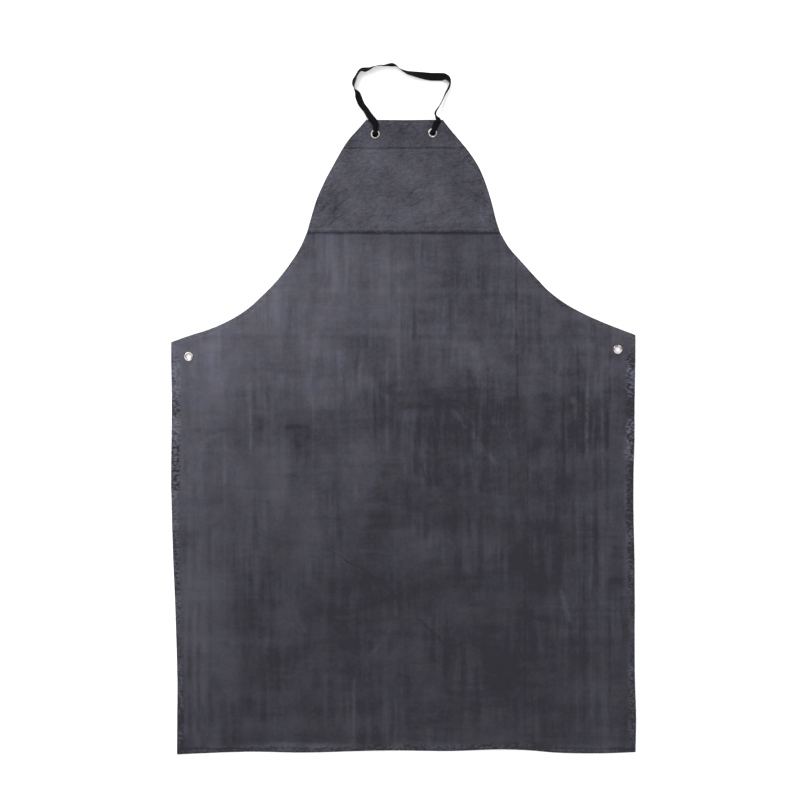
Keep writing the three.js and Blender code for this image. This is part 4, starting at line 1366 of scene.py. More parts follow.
@dataclass(frozen=True)
class TapeFinish(Finish):
    """Black woven tape with a herringbone of small diagonal ribs."""

    name: str = "woven_tape"
    yarn_pitch: float = 0.9 * MM

    def dress(self, graph: Graph, shader: bpy.types.Node) -> None:
        """See Finish.dress."""
        uv = graph.node("ShaderNodeUVMap", uv_map="run").outputs[0]
        parts = graph.node("ShaderNodeSeparateXYZ", {0: uv})
        turn = 2 * math.pi / (self.yarn_pitch / MM)
        along = graph.math("MULTIPLY", parts.outputs[0], turn)
        across = graph.math("MULTIPLY", parts.outputs[1], turn)
        folded = graph.math("ABSOLUTE", graph.math("SINE", graph.math("MULTIPLY", across, 0.25)))
        slope = graph.math("MULTIPLY_ADD", folded, 3.0, along)
        ribs = graph.math("MULTIPLY", graph.math("SINE", slope), graph.math("SINE", across))
        fuzz = graph.noise(graph.node("ShaderNodeTexCoord").outputs["Object"], 900.0, 3.0)
        weave = graph.math("MULTIPLY_ADD", fuzz, 0.6, ribs)
        shade = graph.remap(weave, -1.0, 1.6, 0.0, 1.0)
        inputs = {
            "Base Color": graph.blend(shade, (0.0012, 0.0012, 0.0015, 1), (0.0052, 0.0052, 0.0062, 1)),
            "Roughness": graph.remap(fuzz, 0.2, 0.8, 0.75, 0.95),
            "Normal": graph.bump(weave, 0.5, 0.15 * MM),
            "Specular IOR Level": 0.06,
        }
        graph.fill(shader, inputs)


@dataclass(frozen=True)
class FloorFinish(Finish):
    """Plain white studio ground, with a faint glow that keeps it white to the edges."""

    name: str = "studio_ground"
    glow: float = 0.1

    def dress(self, graph: Graph, shader: bpy.types.Node) -> None:
        """See Finish.dress."""
        place = graph.node("ShaderNodeTexCoord").outputs["Object"]
        tint = graph.remap(graph.noise(place, 1.5, 2.0), 0.3, 0.7, 0.0, 1.0)
        inputs = {
            "Base Color": graph.blend(tint, (0.9, 0.9, 0.9, 1), (0.92, 0.92, 0.92, 1)),
            "Roughness": 0.9,
            "Specular IOR Level": 0.0,
            "Emission Color": (1.0, 1.0, 1.0, 1.0),
            "Emission Strength": self.glow,
        }
        graph.fill(shader, inputs)


def photo_place(px: float, py: float) -> tuple[float, float]:
    """Turns a pixel of the photograph into a place in the frame, in metres."""
    return (px - PHOTO_MIDDLE[0]) * PHOTO_PIXEL, (PHOTO_MIDDLE[1] - py) * PHOTO_PIXEL


def patch(
    px: float, py: float, reach_px: float, reach_py: float, strength: float, turn: float = 0.0
) -> PatchSpot:
    """A soft patch of tone placed by its pixel in the photograph: painted sheen and shade together with
    bloom.
    """
    return PatchSpot(*photo_place(px, py), reach_px * PHOTO_PIXEL, reach_py * PHOTO_PIXEL, turn, strength)


def crease(
    start: tuple[float, float], end: tuple[float, float], width_mm: float, strength: float
) -> CreaseMark:
    """A crease mark placed by its two end pixels in the photograph: painted highlight and shade of a crease,
    and pale scuffs.
    """
    return CreaseMark(*photo_place(*start), *photo_place(*end), width_mm * MM, strength)


def streak(px: float, py_top: float, py_bottom: float, width_mm: float, strength: float) -> CreaseMark:
    """A long, nearly straight upright streak placed by its pixels in the photograph; paler and darker ones
    side by side paint the light and shade of upright folds.
    """
    mark = crease((px, py_top), (px, py_bottom), width_mm, strength)
    return mark._replace(upright=True)


def level_line(py: float, width_mm: float, reach: float, strength: float) -> CrossLine:
    """A line across of painted light and shade, placed by its pixel row in the photograph."""
    return CrossLine(photo_place(0, py)[1], width_mm * MM, reach, strength)


# Skirt patches: the pale ones paint much of the key light's sheen, brightest at the upper left as a painted
# highlight; the rest add bloom.
SKIRT_PATCHES = (
    patch(235, 320, 150, 120, 0.30, 20),
    patch(215, 300, 60, 60, 0.12),
    patch(330, 270, 140, 70, 0.16),
    patch(350, 325, 90, 45, 0.08),
    patch(480, 270, 120, 60, 0.05),
    patch(190, 440, 85, 250, 0.31),
    patch(200, 640, 60, 170, 0.16),
    patch(285, 490, 105, 120, 0.22),
    patch(300, 400, 76, 38, 0.22),
    patch(285, 620, 40, 48, 0.13),
    patch(462, 545, 40, 44, 0.10),
    patch(412, 405, 28, 26, 0.12),
    patch(335, 325, 90, 44, 0.10),
    patch(455, 362, 44, 28, 0.14),
    patch(550, 365, 40, 26, 0.08),
    patch(500, 288, 100, 44, -0.10),
    patch(505, 408, 70, 34, -0.08),
    patch(530, 605, 90, 60, -0.06),
    patch(370, 640, 60, 50, -0.05),
    patch(240, 520, 40, 100, -0.06),
    patch(365, 450, 70, 80, 0.13),
    patch(600, 330, 70, 60, 0.07),
    patch(620, 430, 40, 170, 0.08),
    patch(600, 600, 50, 220, 0.05),
    patch(395, 330, 26, 110, 0.06),
    patch(400, 540, 60, 60, 0.07),
    patch(450, 420, 130, 45, -0.06),
    patch(300, 725, 110, 18, 0.1),
    patch(430, 735, 60, 14, 0.05),
    patch(620, 700, 30, 60, 0.06),
    patch(350, 285, 95, 55, 0.07),
    patch(478, 352, 44, 22, 0.10),
    patch(330, 402, 26, 12, 0.13),
    patch(335, 354, 50, 9, 0.09),
    patch(573, 400, 6, 6, 0.20),
    patch(176, 430, 9, 120, 0.14),
    patch(300, 747, 100, 8, 0.20),
    patch(440, 747, 130, 8, 0.14),
    patch(590, 748, 60, 8, 0.10),
)

# Skirt lines: painted shadow under the facing's lower edge, painted light and shade of two low ripples, and a
# darker line along the bottom hem.
SKIRT_LINES = (
    level_line(233.6, 3.0, 0.30, -0.24),
    level_line(291, 9, 0.34, 0.05),
    level_line(337, 9, 0.50, -0.05),
    level_line(748.3, 3, 0.60, -0.1),
)

# Skirt crease marks: the pale ones are painted highlights and pale scuffs, the dark ones painted shade in the
# creases; the upright ones paint the light and shade of folds.
SKIRT_CREASES = (
    crease((450, 408), (474, 436), 7, 0.15),
    crease((474, 436), (498, 466), 7, 0.14),
    crease((422, 450), (428, 477), 4, 0.20),
    crease((403, 463), (407, 477), 4, 0.14),
    crease((404, 398), (412, 440), 4, 0.10),
    crease((432, 402), (440, 446), 4, 0.10),
    crease((470, 448), (474, 492), 4, 0.09),
    crease((558, 586), (571, 623), 6, 0.17),
    crease((391, 628), (368, 660), 6, 0.13),
    crease((197, 447), (225, 430), 6, 0.14),
    crease((225, 430), (256, 426), 6, 0.12),
    crease((295, 612), (307, 636), 5, 0.15),
    crease((300, 320), (310, 290), 5, 0.10),
    crease((250, 392), (251, 456), 4, 0.22),
    crease((505, 420), (520, 470), 4, 0.09),
    crease((330, 250), (322, 300), 4, 0.09),
    crease((325, 547), (363, 569), 5, -0.14),
    crease((363, 569), (391, 591), 5, -0.14),
    crease((402, 593), (344, 616), 9, -0.14),
    crease((416, 619), (443, 643), 5, -0.17),
    crease((284, 427), (311, 425), 6, -0.22),
    crease((520, 612), (568, 624), 9, -0.12),
    crease((190, 431), (262, 428), 8, -0.10),
    crease((300, 330), (352, 331), 7, -0.10),
    crease((236, 746), (300, 744.5), 5, 0.14),
    crease((302, 747), (345, 745), 7, 0.24),
    crease((345, 748), (430, 747), 5, 0.12),
    crease((470, 747), (560, 748), 5, 0.10),
    crease((190, 748.5), (238, 747), 3.5, -0.14),
    streak(516.3, 252, 345, 3.4, -0.27),
    streak(517.2, 338, 404, 3.2, -0.17),
    streak(527.8, 440, 530, 3.4, -0.12),
    streak(524.6, 520, 745, 3.4, -0.10),
    streak(509, 450, 600, 3.4, -0.07),
    streak(391.5, 248, 322, 5.0, -0.13),
    streak(414.5, 248, 348, 5.0, -0.13),
    streak(444, 284, 352, 5.0, 0.14),
    streak(450, 290, 352, 4.5, -0.12),
    streak(455.5, 252, 350, 4.5, 0.11),
    streak(371, 252, 350, 4.5, 0.08),
    streak(361, 252, 304, 4.5, -0.10),
    streak(512.5, 296, 352, 4.0, 0.10),
    streak(258, 346, 404, 4.5, 0.13),
    streak(478, 346, 404, 5.0, 0.12),
    streak(469, 348, 404, 5.0, -0.15),
    streak(488, 348, 404, 4.5, -0.12),
    streak(551, 352, 408, 4.5, 0.10),
    streak(578, 350, 404, 4.5, -0.12),
    streak(610, 348, 404, 4.5, -0.13),
    streak(587, 382, 458, 4.5, 0.34),
    streak(583, 392, 458, 3.5, -0.20),
    streak(602.3, 396, 470, 4.5, 0.14),
    streak(595.3, 392, 600, 4.5, -0.13),
    streak(607.5, 398, 532, 4.5, -0.14),
    streak(575, 394, 452, 4.0, 0.13),
    streak(563, 396, 452, 4.0, -0.11),
    streak(375, 392, 452, 5.0, -0.10),
    streak(313, 392, 520, 4.0, 0.11),
    streak(474, 398, 452, 4.0, 0.10),
    streak(354, 676, 742, 5.0, 0.12),
    streak(189, 430, 610, 4.0, 0.09),
    streak(194.5, 430, 590, 4.0, -0.08),
    streak(200, 425, 590, 5.0, 0.05),
    streak(186, 590, 748, 4.0, 0.13),
    streak(190.2, 610, 745, 3.5, -0.11),
    streak(194.5, 600, 748, 3.5, 0.12),
    streak(199, 590, 745, 4.0, -0.12),
    streak(203.5, 590, 748, 4.0, 0.08),
    streak(210, 500, 740, 7.0, -0.09),
    streak(225, 420, 600, 4.0, 0.08),
    streak(566, 430, 735, 4.0, 0.04),
    streak(577.5, 470, 745, 4.0, 0.09),
    streak(584, 500, 745, 5.0, -0.11),
    streak(590.5, 430, 745, 4.5, 0.07),
    streak(597, 470, 745, 4.0, -0.07),
    streak(602.5, 430, 745, 4.5, 0.08),
    streak(609.5, 560, 740, 4.5, -0.10),
    streak(625.5, 430, 610, 9.0, 0.20),
    streak(629.5, 590, 745, 7.0, 0.16),
    streak(387, 344, 452, 5.0, 0.13),
    streak(398.5, 252, 402, 6.0, 0.14),
    streak(351, 390, 470, 4.0, 0.07),
    streak(437, 300, 380, 5.0, 0.07),
)

# Bib patches: painted sheen and bloom, with darker patches over the creased places as their painted shade.
BIB_PATCHES = (
    patch(350, 190, 60, 50, 0.05),
    patch(366, 157, 44, 18, 0.13),
    patch(330, 172, 26, 18, 0.10),
    patch(462, 136, 30, 20, -0.06),
    patch(470, 185, 60, 40, -0.05),
    patch(400, 222, 110, 10, 0.05),
    patch(404, 130, 80, 22, -0.20),
    patch(385, 165, 45, 16, 0.06),
    patch(413, 197, 15, 16, -0.15),
    patch(335, 201, 22, 26, -0.13),
    patch(478, 190, 14, 26, -0.14),
    patch(419, 178, 6, 5, 0.12),
    patch(400, 212, 90, 8, 0.05),
)

# Bib crease marks: pairs of painted highlight and painted shade along the wrinkles.
BIB_CREASES = (
    crease((314, 204), (322, 178), 4, 0.20),
    crease((322, 215), (332, 205), 3.5, 0.22),
    crease((324, 190), (334, 172), 3.5, 0.16),
    crease((342, 206), (352, 199), 3.5, 0.18),
    crease((400, 213), (408, 208), 4, 0.20),
    crease((474, 184), (487, 194), 4, 0.22),
    crease((478, 206), (484, 223), 4, 0.18),
    crease((462, 150), (478, 164), 3.5, 0.14),
    crease((466, 160), (482, 172), 3.0, -0.18),
    crease((330, 226), (346, 210), 3.5, -0.18),
    crease((318, 214), (338, 192), 4, -0.22),
    crease((327, 218), (350, 196), 4, -0.19),
    crease((322, 198), (336, 184), 3.5, 0.16),
    crease((338, 222), (352, 208), 4, -0.16),
    crease((404, 200), (420, 186), 4, -0.22),
    crease((410, 207), (424, 200), 3.5, -0.19),
    crease((412, 192), (428, 190), 3.5, 0.16),
    crease((466, 182), (486, 178), 4, -0.19),
    crease((472, 192), (488, 204), 4, -0.22),
    crease((470, 198), (478, 214), 3.5, 0.16),
    crease((480, 158), (484, 182), 3.5, -0.16),
    crease((370, 158), (384, 170), 3.5, 0.14),
    crease((352, 228), (378, 216), 4, -0.14),
    crease((440, 214), (466, 206), 4, -0.14),
)

# Bib lines: painted shade and light at the step of the top hem, and painted light and shade on the welt above
# the seam.
BIB_LINES = (
    level_line(148.6, 3.4, 0.13, -0.22),
    level_line(151.4, 4, 0.12, 0.06),
    level_line(229.2, 2.2, 0.22, 0.05),
    level_line(231.4, 4.0, 0.22, -0.17),
)


def loop_corners(thing: bpy.types.Object) -> np.ndarray:
    """Vertex number of each corner of each face."""
    corners = np.empty(len(thing.data.loops), dtype=np.int32)
    thing.data.loops.foreach_get("vertex_index", corners)
    return corners


def add_uv_map(thing: bpy.types.Object, name: str, uv: np.ndarray) -> None:
    """Gives an object a UV map, from one pair of values for each face corner."""
    thing.data.uv_layers.new(name=name).data.foreach_set("uv", uv.astype(np.float32).ravel())


def new_object(name: str, vertices: np.ndarray, faces: np.ndarray, finish: Finish) -> bpy.types.Object:
    """Makes a smooth-shaded mesh object with one material.

    Args:
        name: Name of the object.
        vertices: Points, one row each.
        faces: Quads, one row of four indices each.
        finish: The finish that dresses it.

    Returns:
        The new object, linked to the scene.
    """
    used, compact = np.unique(faces, return_inverse=True)
    compact = compact.reshape(faces.shape)
    mesh = bpy.data.meshes.new(name)
    mesh.vertices.add(len(used))
    mesh.vertices.foreach_set("co", np.ascontiguousarray(vertices[used], dtype=np.float32).ravel())
    mesh.loops.add(compact.size)
    mesh.loops.foreach_set("vertex_index", compact.ravel().astype(np.int32))
    mesh.polygons.add(len(compact))
    mesh.polygons.foreach_set("loop_start", np.arange(0, compact.size, 4, dtype=np.int32))
    mesh.update(calc_edges=True)
    mesh.validate()
    mesh.polygons.foreach_set("use_smooth", np.ones(len(mesh.polygons), dtype=bool))
    mesh.materials.append(finish.material())
    thing = bpy.data.objects.new(name, mesh)
    bpy.context.scene.collection.objects.link(thing)
    return thing


def dress_piece(thing: bpy.types.Object, nodes: Sequence[str] = ()) -> None:
    """Lets a piece ride on the apron's only body and the nodes it stands for."""
    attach(thing, "root")
    if nodes:
        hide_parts(*nodes)
    LOG.info("%s: %d faces", thing.name, len(thing.data.polygons))


def cut_round_holes(thing: bpy.types.Object, centres: Sequence[tuple[float, float]], radius: float) -> None:
    """Cuts round holes straight through a sheet.

    Args:
        thing: The sheet's object.
        centres: Centres of the holes.
        radius: Radius of the holes.
    """
    height, sides = 0.1, 40
    around = np.linspace(0, 2 * np.pi, sides, endpoint=False)
    vertices, faces = [], []
    for x, y in centres:
        base = len(vertices)
        for z in (-height / 2, height / 2):
            vertices += [(x + radius * math.cos(angle), y + radius * math.sin(angle), z) for angle in around]
        low = [base + i for i in range(sides)]
        ahead = [*low[1:], base]
        faces += [(here, there, there + sides, here + sides) for here, there in zip(low, ahead)]
        faces.append(tuple(range(base + sides - 1, base - 1, -1)))
        faces.append(tuple(range(base + sides, base + 2 * sides)))
    mesh = bpy.data.meshes.new("cutter")
    mesh.from_pydata(vertices, [], faces)
    cutter = bpy.data.objects.new("cutter", mesh)
    bpy.context.scene.collection.objects.link(cutter)
    modifier = thing.modifiers.new("hole", "BOOLEAN")
    modifier.object = cutter
    modifier.operation = "DIFFERENCE"
    modifier.solver = "EXACT"
    bpy.context.view_layer.objects.active = thing
    bpy.ops.object.modifier_apply(modifier=modifier.name)
    bpy.data.objects.remove(cutter, do_unlink=True)


@dataclass
class RubberSheets:
    """The apron's rubber: the hemmed sheet and the facing on its bib."""

    cut: ApronCut
    origin: Vector
    hole_radius: float = 6.3 * MM
    facing_inset: float = 1.35 * MM
    surface: SheetSurface = field(init=False)
    grid: SheetGrid = field(init=False)

    def __post_init__(self) -> None:
        """Lays out the grid that both sheets share."""
        self.surface = SheetSurface(self.cut, HemPuckers())
        self.grid, _ = SheetWeave(self.cut).grid()

    def _object(
        self, name: str, grid: SheetGrid, front: np.ndarray, back: np.ndarray, finish: Finish
    ) -> bpy.types.Object:
        """Closes a front and a back layer into one mesh object."""
        rows, columns = grid.x.shape
        layers = [np.stack([grid.x, grid.y, z], axis=-1).reshape(-1, 3) for z in (front, back)]
        vertices = np.concatenate(layers) + np.array(self.origin)
        thing = new_object(name, vertices, layered_faces(rows, columns), finish)
        self._map_hems(thing, grid)
        return thing

    def _map_hems(self, thing: bpy.types.Object, grid: SheetGrid) -> None:
        """Stores the crinkles' strength and the distance in from the edge as a UV map."""
        left = self.surface.puckers.strength(self.cut, Side.LEFT, grid.y)
        right = self.surface.puckers.strength(self.cut, Side.RIGHT, grid.y)
        strength = np.where(grid.nearer_left, left, right)
        inset = np.clip(np.minimum(grid.side_inset, np.minimum(grid.up, grid.down)), 0, 0.04)
        table = np.tile(np.stack([strength, inset], axis=-1).reshape(-1, 2), (2, 1))
        add_uv_map(thing, "hem", table[loop_corners(thing)])

    def _centres(self, start: str) -> list[tuple[float, float]]:
        """Centres of the eyelets whose names start with the given word, in the frame."""
        spots = self.cut.eyelets().items()
        return [(x + self.origin.x, y + self.origin.y) for name, (x, y) in spots if name.startswith(start)]

    def build_sheet(self) -> bpy.types.Object:
        """Builds the hemmed sheet with its four eyelet holes."""
        front, back = self.surface.sheet(self.grid)
        finish = RubberFinish(patches=SKIRT_PATCHES, creases=SKIRT_CREASES, lines=SKIRT_LINES)
        sheet = self._object("rubber_sheet", self.grid, front, back, finish)
        cut_round_holes(sheet, self._centres("neck") + self._centres("waist"), self.hole_radius)
        dress_piece(sheet, ["apron_sheet"])
        return sheet

    def build_facing(self) -> bpy.types.Object:
        """Builds the second layer on the bib."""
        fine, bib_rows = SheetWeave(self.cut, curve_step=1.7 * MM, inner_columns=150).grid()
        rows = np.flatnonzero(bib_rows)
        rows = rows[fine.down[rows, 0] >= self.facing_inset]
        inner = np.flatnonzero(fine.side_inset[0] >= self.facing_inset)
        grid = fine.part(rows, slice(inner[0], inner[-1] + 1))
        front, back = self.surface.facing(grid)
        front = front + self._mottle(grid)
        finish = RubberFinish(
            name="bib_rubber",
            tone=0.37,
            streaks=0.0,
            cross_streaks=0.02,
            broad=0.0,
            cross=0.02,
            clouds=0.06,
            blotches=0.07,
            # edge: the painted shade along the facing's edge.
            edge=-0.3,
            specks=0.06,
            tint=0.3,
            hem=0.22,
            hem_band=0.028,
            wrinkles=0.045,
            relief=0.75,
            creases=BIB_CREASES,
            zone=0.0,
            lines=BIB_LINES,
            patches=BIB_PATCHES,
        )
        facing = self._object("bib_facing_rubber", grid, front, back, finish)
        cut_round_holes(facing, self._centres("neck"), self.hole_radius)
        dress_piece(facing, ["bib_facing"])
        return facing

    def _mottle(self, grid: SheetGrid) -> np.ndarray:
        """Leathery lumps and creases of the facing, faded out at its edges and eyelets."""
        lumps = np.zeros_like(grid.x)
        for seed, pitch, height in ((21, 24, 0.2), (22, 12, 0.14), (23, 6.5, 0.09)):
            lumps += height * MM * soft_noise(grid.x, grid.y, (pitch * MM, pitch * MM), seed)
        turn = math.radians(38)
        along = grid.x * math.cos(turn) + grid.y * math.sin(turn)
        across = grid.y * math.cos(turn) - grid.x * math.sin(turn)
        for seed, pitch, depth in ((31, (26, 9), 0.3), (32, (15, 5.5), 0.2)):
            crease = soft_noise(along, across, (pitch[0] * MM, pitch[1] * MM), seed)
            patchy = np.clip(0.4 + soft_noise(grid.x, grid.y, (45 * MM, 38 * MM), seed + 5), 0, 1)
            lumps -= depth * MM * patchy * np.maximum(1 - np.abs(crease) / 0.22, 0)
        margin = np.minimum(np.minimum(grid.side_inset, grid.down), grid.seam)
        calm = np.clip(margin / (9 * MM), 0, 1) * self.cut.away_from_eyelets(grid.x, grid.y)
        return lumps * calm


@dataclass
class RolledEyelet:
    """A rolled metal eyelet, crowned in front and flared behind."""

    node: str
    bore: float = 11 * MM
    wall: float = 0.5 * MM
    flange: float = 18 * MM
    back_flange: float = 16 * MM
    crown: float = 1.4 * MM
    back_roll: float = 1.0 * MM
    sides: int = 72

    def profile(self, low: float, high: float) -> np.ndarray:
        """The closed outline of the eyelet's section, as radius and height.

        Args:
            low: Height of the eyelet's lowest point.
            high: Height of its highest point.

        Returns:
            An array of radius, height pairs, running anticlockwise.
        """
        r, outer, back = self.bore / 2, self.flange / 2, self.back_flange / 2
        under = high - self.crown
        over = low + self.back_roll
        lip, curl = 1.3 * MM, 1.1 * MM
        points: list[tuple[float, float]] = []

        def arc(cx: float, cy: float, rx: float, ry: float, start: float, stop: float, steps: int) -> None:
            """Adds the points of an oval arc between two angles in degrees."""
            for angle in np.radians(np.linspace(start, stop, steps)):
                points.append((cx + rx * math.cos(angle), cy + ry * math.sin(angle)))

        points.append((outer - 0.15 * MM, under))
        arc(outer - curl, under + 0.25 * MM, curl, self.crown - 0.25 * MM, 0, 90, 8)
        arc(r + lip, high - self.crown, lip, self.crown, 90, 180, 8)
        arc(r + 0.9 * MM, low + 0.7 * MM, 0.9 * MM, 0.7 * MM, 180, 270, 6)
        arc(back - 0.6 * MM, low + 0.55 * MM, 0.6 * MM, 0.55 * MM, 270, 360, 6)
        points.append((back - 0.1 * MM, over))
        points.append((r + self.wall, over))
        points.append((r + self.wall, under))
        return np.array(points)

    def build(self) -> bpy.types.Object:
        """Builds the eyelet where its node is, and dresses it."""
        low, high = (Vector(corner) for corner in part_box(self.node))
        centre = (low + high) / 2
        profile = self.profile(low.z, high.z)
        around = np.linspace(0, 2 * np.pi, self.sides, endpoint=False)
        uneven = 1 + 0.006 * np.sin(3 * around + 1) + 0.004 * np.sin(7 * around)
        rings = []
        for radius, height in profile:
            swing = radius * (uneven if radius > self.bore / 2 + self.wall else 1.0)
            x = centre.x + swing * np.cos(around)
            y = centre.y + swing * np.sin(around)
            rings.append(np.stack([x, y, np.full_like(around, height)], axis=-1))
        vertices = np.concatenate(rings)
        index = np.arange(len(vertices)).reshape(len(profile), self.sides)
        ahead, beside = np.roll(index, -1, axis=0), np.roll(index, -1, axis=1)
        corner = np.roll(ahead, -1, axis=1)
        faces = np.stack([index, beside, corner, ahead], axis=-1).reshape(-1, 4)
        ring = new_object(f"{self.node}_ring", vertices, faces, NickelFinish())
        add_uv_map(ring, "section", profile[loop_corners(ring) // self.sides])
        dress_piece(ring, [self.node])
        return ring


@dataclass
class NeckTape:
    """The flat woven tape, knotted behind both neck eyelets."""

    cut: ApronCut
    origin: Vector
    width: float = 16 * MM
    thickness: float = 0.9 * MM
    loop_rise: float = 132 * MM
    knot_thickness: float = 5.4 * MM
    steps_per_station: int = 7
    section_points: int = 11
    length: float = field(default=0.0, init=False)

    def stations(self) -> list[TapeStation]:
        """Every station of the tape, from one tail end to the other."""
        left = Vector((*self.cut.eyelets()["neck_eyelet_left"], 0)) + self.origin
        right = Vector((*self.cut.eyelets()["neck_eyelet_right"], 0)) + self.origin
        top_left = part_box("neck_eyelet_left")[1][2]
        top_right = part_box("neck_eyelet_right")[1][2]
        middle = (left + right) / 2
        stack = self._bib_height_at_top()
        loop = []
        for index, row in enumerate(TAPE_LOOP):
            roll = math.radians(row.roll)
            half = 0.5 * (self.width * abs(math.sin(roll)) + self.thickness * abs(math.cos(roll)))
            half *= 1 - 0.35 * row.fold
            place = Vector((
                middle.x + row.across * self.cut.neck_eyelet_spacing / 2,
                middle.y + row.rise * self.loop_rise,
                self.cut.gap + half + row.lift * stack,
            ))
            facing_up = 1.0 if index < len(TAPE_LOOP) / 2 else -1.0
            loop.append(TapeStation(place, roll, facing_up * row.fold))
        start = self._knot(left, Side.LEFT, 0.0)
        start += self._entry(left, top_left, loop[0].place, 0.0, 1.0)
        end = self._knot(right, Side.RIGHT, math.pi)
        end += self._entry(right, top_right, loop[-1].place, math.pi, -1.0)
        return [*start, *loop, *reversed(end)]

    def _knot(self, eyelet: Vector, side: Side, roll: float) -> list[TapeStation]:
        """Stations of the tail and of the flattened overhand knot behind an eyelet."""
        return [
            TapeStation(
                Vector((eyelet.x + side.value * row.out * MM, eyelet.y + row.up * MM, row.height * MM)),
                roll,
                0.0,
                row.wide,
                row.thick,
            )
            for row in KNOT_COURSE
        ]

    def _bib_height_at_top(self) -> float:
        """Height of the facing's front at the bib's top edge, in front of an eyelet."""
        x, y = self.cut.eyelets()["neck_eyelet_left"]
        lift = self.cut.ground_lift(np.array([x]), np.array([self.cut.length]))[0]
        return float(lift + 2 * self.cut.thickness + self.cut.gap + self.cut.facing_thickness)

    def _entry(
        self, eyelet: Vector, top: float, ahead: Vector, roll: float, fold: float
    ) -> list[TapeStation]:
        """Stations from the knot behind an eyelet up through its bore and over its rim."""
        away = Vector((ahead.x - eyelet.x, ahead.y - eyelet.y, 0)).normalized()
        bore_radius = RolledEyelet.bore / 2
        middle = self.knot_thickness / 2
        shares = ((0.0, 0.45), (0.0, 0.75), (0.06, 0.95), (0.28, 1.1), (0.8, 1.17))
        return [
            TapeStation(
                Vector((eyelet.x, eyelet.y, middle + share * (top - middle))) + away * out * bore_radius,
                roll,
                fold,
            )
            for out, share in shares
        ]

    def _section(self, fold: float, wide: float, thick: float) -> np.ndarray:
        """The tape's cross-section, curled into a gutter by the fold, as a closed outline.

        Args:
            fold: 0 for flat tape, 1 or -1 for tape gathered to fit the bore, with its back up or down.
            wide: Share of the tape's width that shows, less than 1 where it is folded on itself.
            thick: Share of the tape's thickness.

        Returns:
            An array of across, through pairs.
        """
        half_turn = 0.12 + 1.75 * abs(fold)
        radius = wide * self.width / (2 * half_turn)
        share = np.linspace(-1, 1, self.section_points)
        angle = share * half_turn
        edge = thick * self.thickness / 2 * np.sqrt(np.maximum(1 - np.abs(share) ** 8, 0.12))
        middle = radius * (1 - np.cos(half_turn)) / 2
        back = -1.0 if fold < 0 else 1.0
        layers = []
        for layer in (-back * edge, back * edge):
            through = back * (middle - radius + (radius + layer) * np.cos(angle))
            layers.append(np.stack([(radius + layer) * np.sin(angle), through], axis=-1))
        return np.concatenate([layers[0], layers[1][::-1]])

    def build(self) -> bpy.types.Object:
        """Sweeps the tape along its stations, knots and tails included."""
        stations = self.stations()
        table = np.array([[*row.place, row.roll, row.fold, row.wide, row.thick] for row in stations])
        count = self.steps_per_station * (len(stations) - 1)
        values = self._smooth(table, np.linspace(0, len(stations) - 1, count + 1))
        path, roll = values[:, :3], values[:, 3]
        fold = np.clip(values[:, 4], -1, 1)
        self.length = float(np.linalg.norm(np.diff(path, axis=0), axis=1).sum())
        shape = np.stack([fold, values[:, 5], values[:, 6]], axis=-1)
        return self._sweep("woven_neck_tape", path, roll, shape)

    def _smooth(self, values: np.ndarray, at: np.ndarray) -> np.ndarray:
        """A smooth curve through evenly numbered values."""
        row = np.clip(at.astype(int), 0, len(values) - 2)
        t = (at - row)[:, None]
        before = values[np.maximum(row - 1, 0)]
        here, ahead = values[row], values[row + 1]
        after = values[np.minimum(row + 2, len(values) - 1)]
        bend = 2 * before - 5 * here + 4 * ahead - after
        twist = 3 * (here - ahead) + after - before
        return here + 0.5 * t * (ahead - before + t * (bend + t * twist))

    def _sweep(self, name: str, path: np.ndarray, roll: np.ndarray, shape: np.ndarray) -> bpy.types.Object:
        """Sweeps the section along a path, with a UV map that runs along and across the tape."""
        tangent = np.gradient(path, axis=0)
        tangent /= np.linalg.norm(tangent, axis=1, keepdims=True)
        level = np.zeros_like(path)
        flat = np.stack([-tangent[:, 1], tangent[:, 0], np.zeros(len(path))], axis=-1)
        size = np.linalg.norm(flat, axis=1)
        first = np.argmax(size > 0.5)
        last = flat[first] / size[first]
        for index in range(len(path)):
            if size[index] > 0.5:
                last = flat[index] / size[index]
            level[index] = last
        side = level - (level * tangent).sum(axis=1, keepdims=True) * tangent
        side /= np.linalg.norm(side, axis=1, keepdims=True)
        normal = np.cross(tangent, side)
        cos, sin = np.cos(roll)[:, None], np.sin(roll)[:, None]
        wide = cos * side + sin * normal
        thick = cos * normal - sin * side
        rings = []
        for index, (fold, breadth, depth) in enumerate(shape):
            section = self._section(float(fold), float(breadth), float(depth))
            rings.append(path[index] + section[:, :1] * wide[index] + section[:, 1:] * thick[index])
        around = 2 * self.section_points
        vertices = np.concatenate(rings)
        index = np.arange(len(vertices)).reshape(len(path), around)
        ahead, beside = index[1:], np.roll(index, -1, axis=1)[:-1]
        corner = np.roll(index, -1, axis=1)[1:]
        faces = [np.stack([index[:-1], beside, corner, ahead], axis=-1).reshape(-1, 4)]
        half = self.section_points
        for ring, flip in ((index[0], True), (index[-1], False)):
            low, high = ring[:half], ring[half:][::-1]
            cap = np.stack([low[:-1], low[1:], high[1:], high[:-1]], axis=-1)
            faces.append(cap[:, ::-1] if flip else cap)
        tape = new_object(name, vertices, np.concatenate(faces), TapeFinish())
        self._unwrap(tape, path, around)
        return tape

    def _unwrap(self, tape: bpy.types.Object, path: np.ndarray, around: int) -> None:
        """Gives the tape a UV map in millimetres along and across it."""
        run = np.concatenate([[0], np.cumsum(np.linalg.norm(np.diff(path, axis=0), axis=1))]) / MM
        half = self.section_points
        across = np.linspace(-0.5, 0.5, half) * self.width / MM
        across = np.concatenate([across, across[::-1]])
        corners = loop_corners(tape)
        add_uv_map(tape, "run", np.stack([run[corners // around], across[corners % around]], axis=-1))


class SoftLight(NamedTuple):
    """A square soft light: its place and size in metres, and its power in watts."""

    name: str
    place: tuple[float, float, float]
    size: float
    power: float


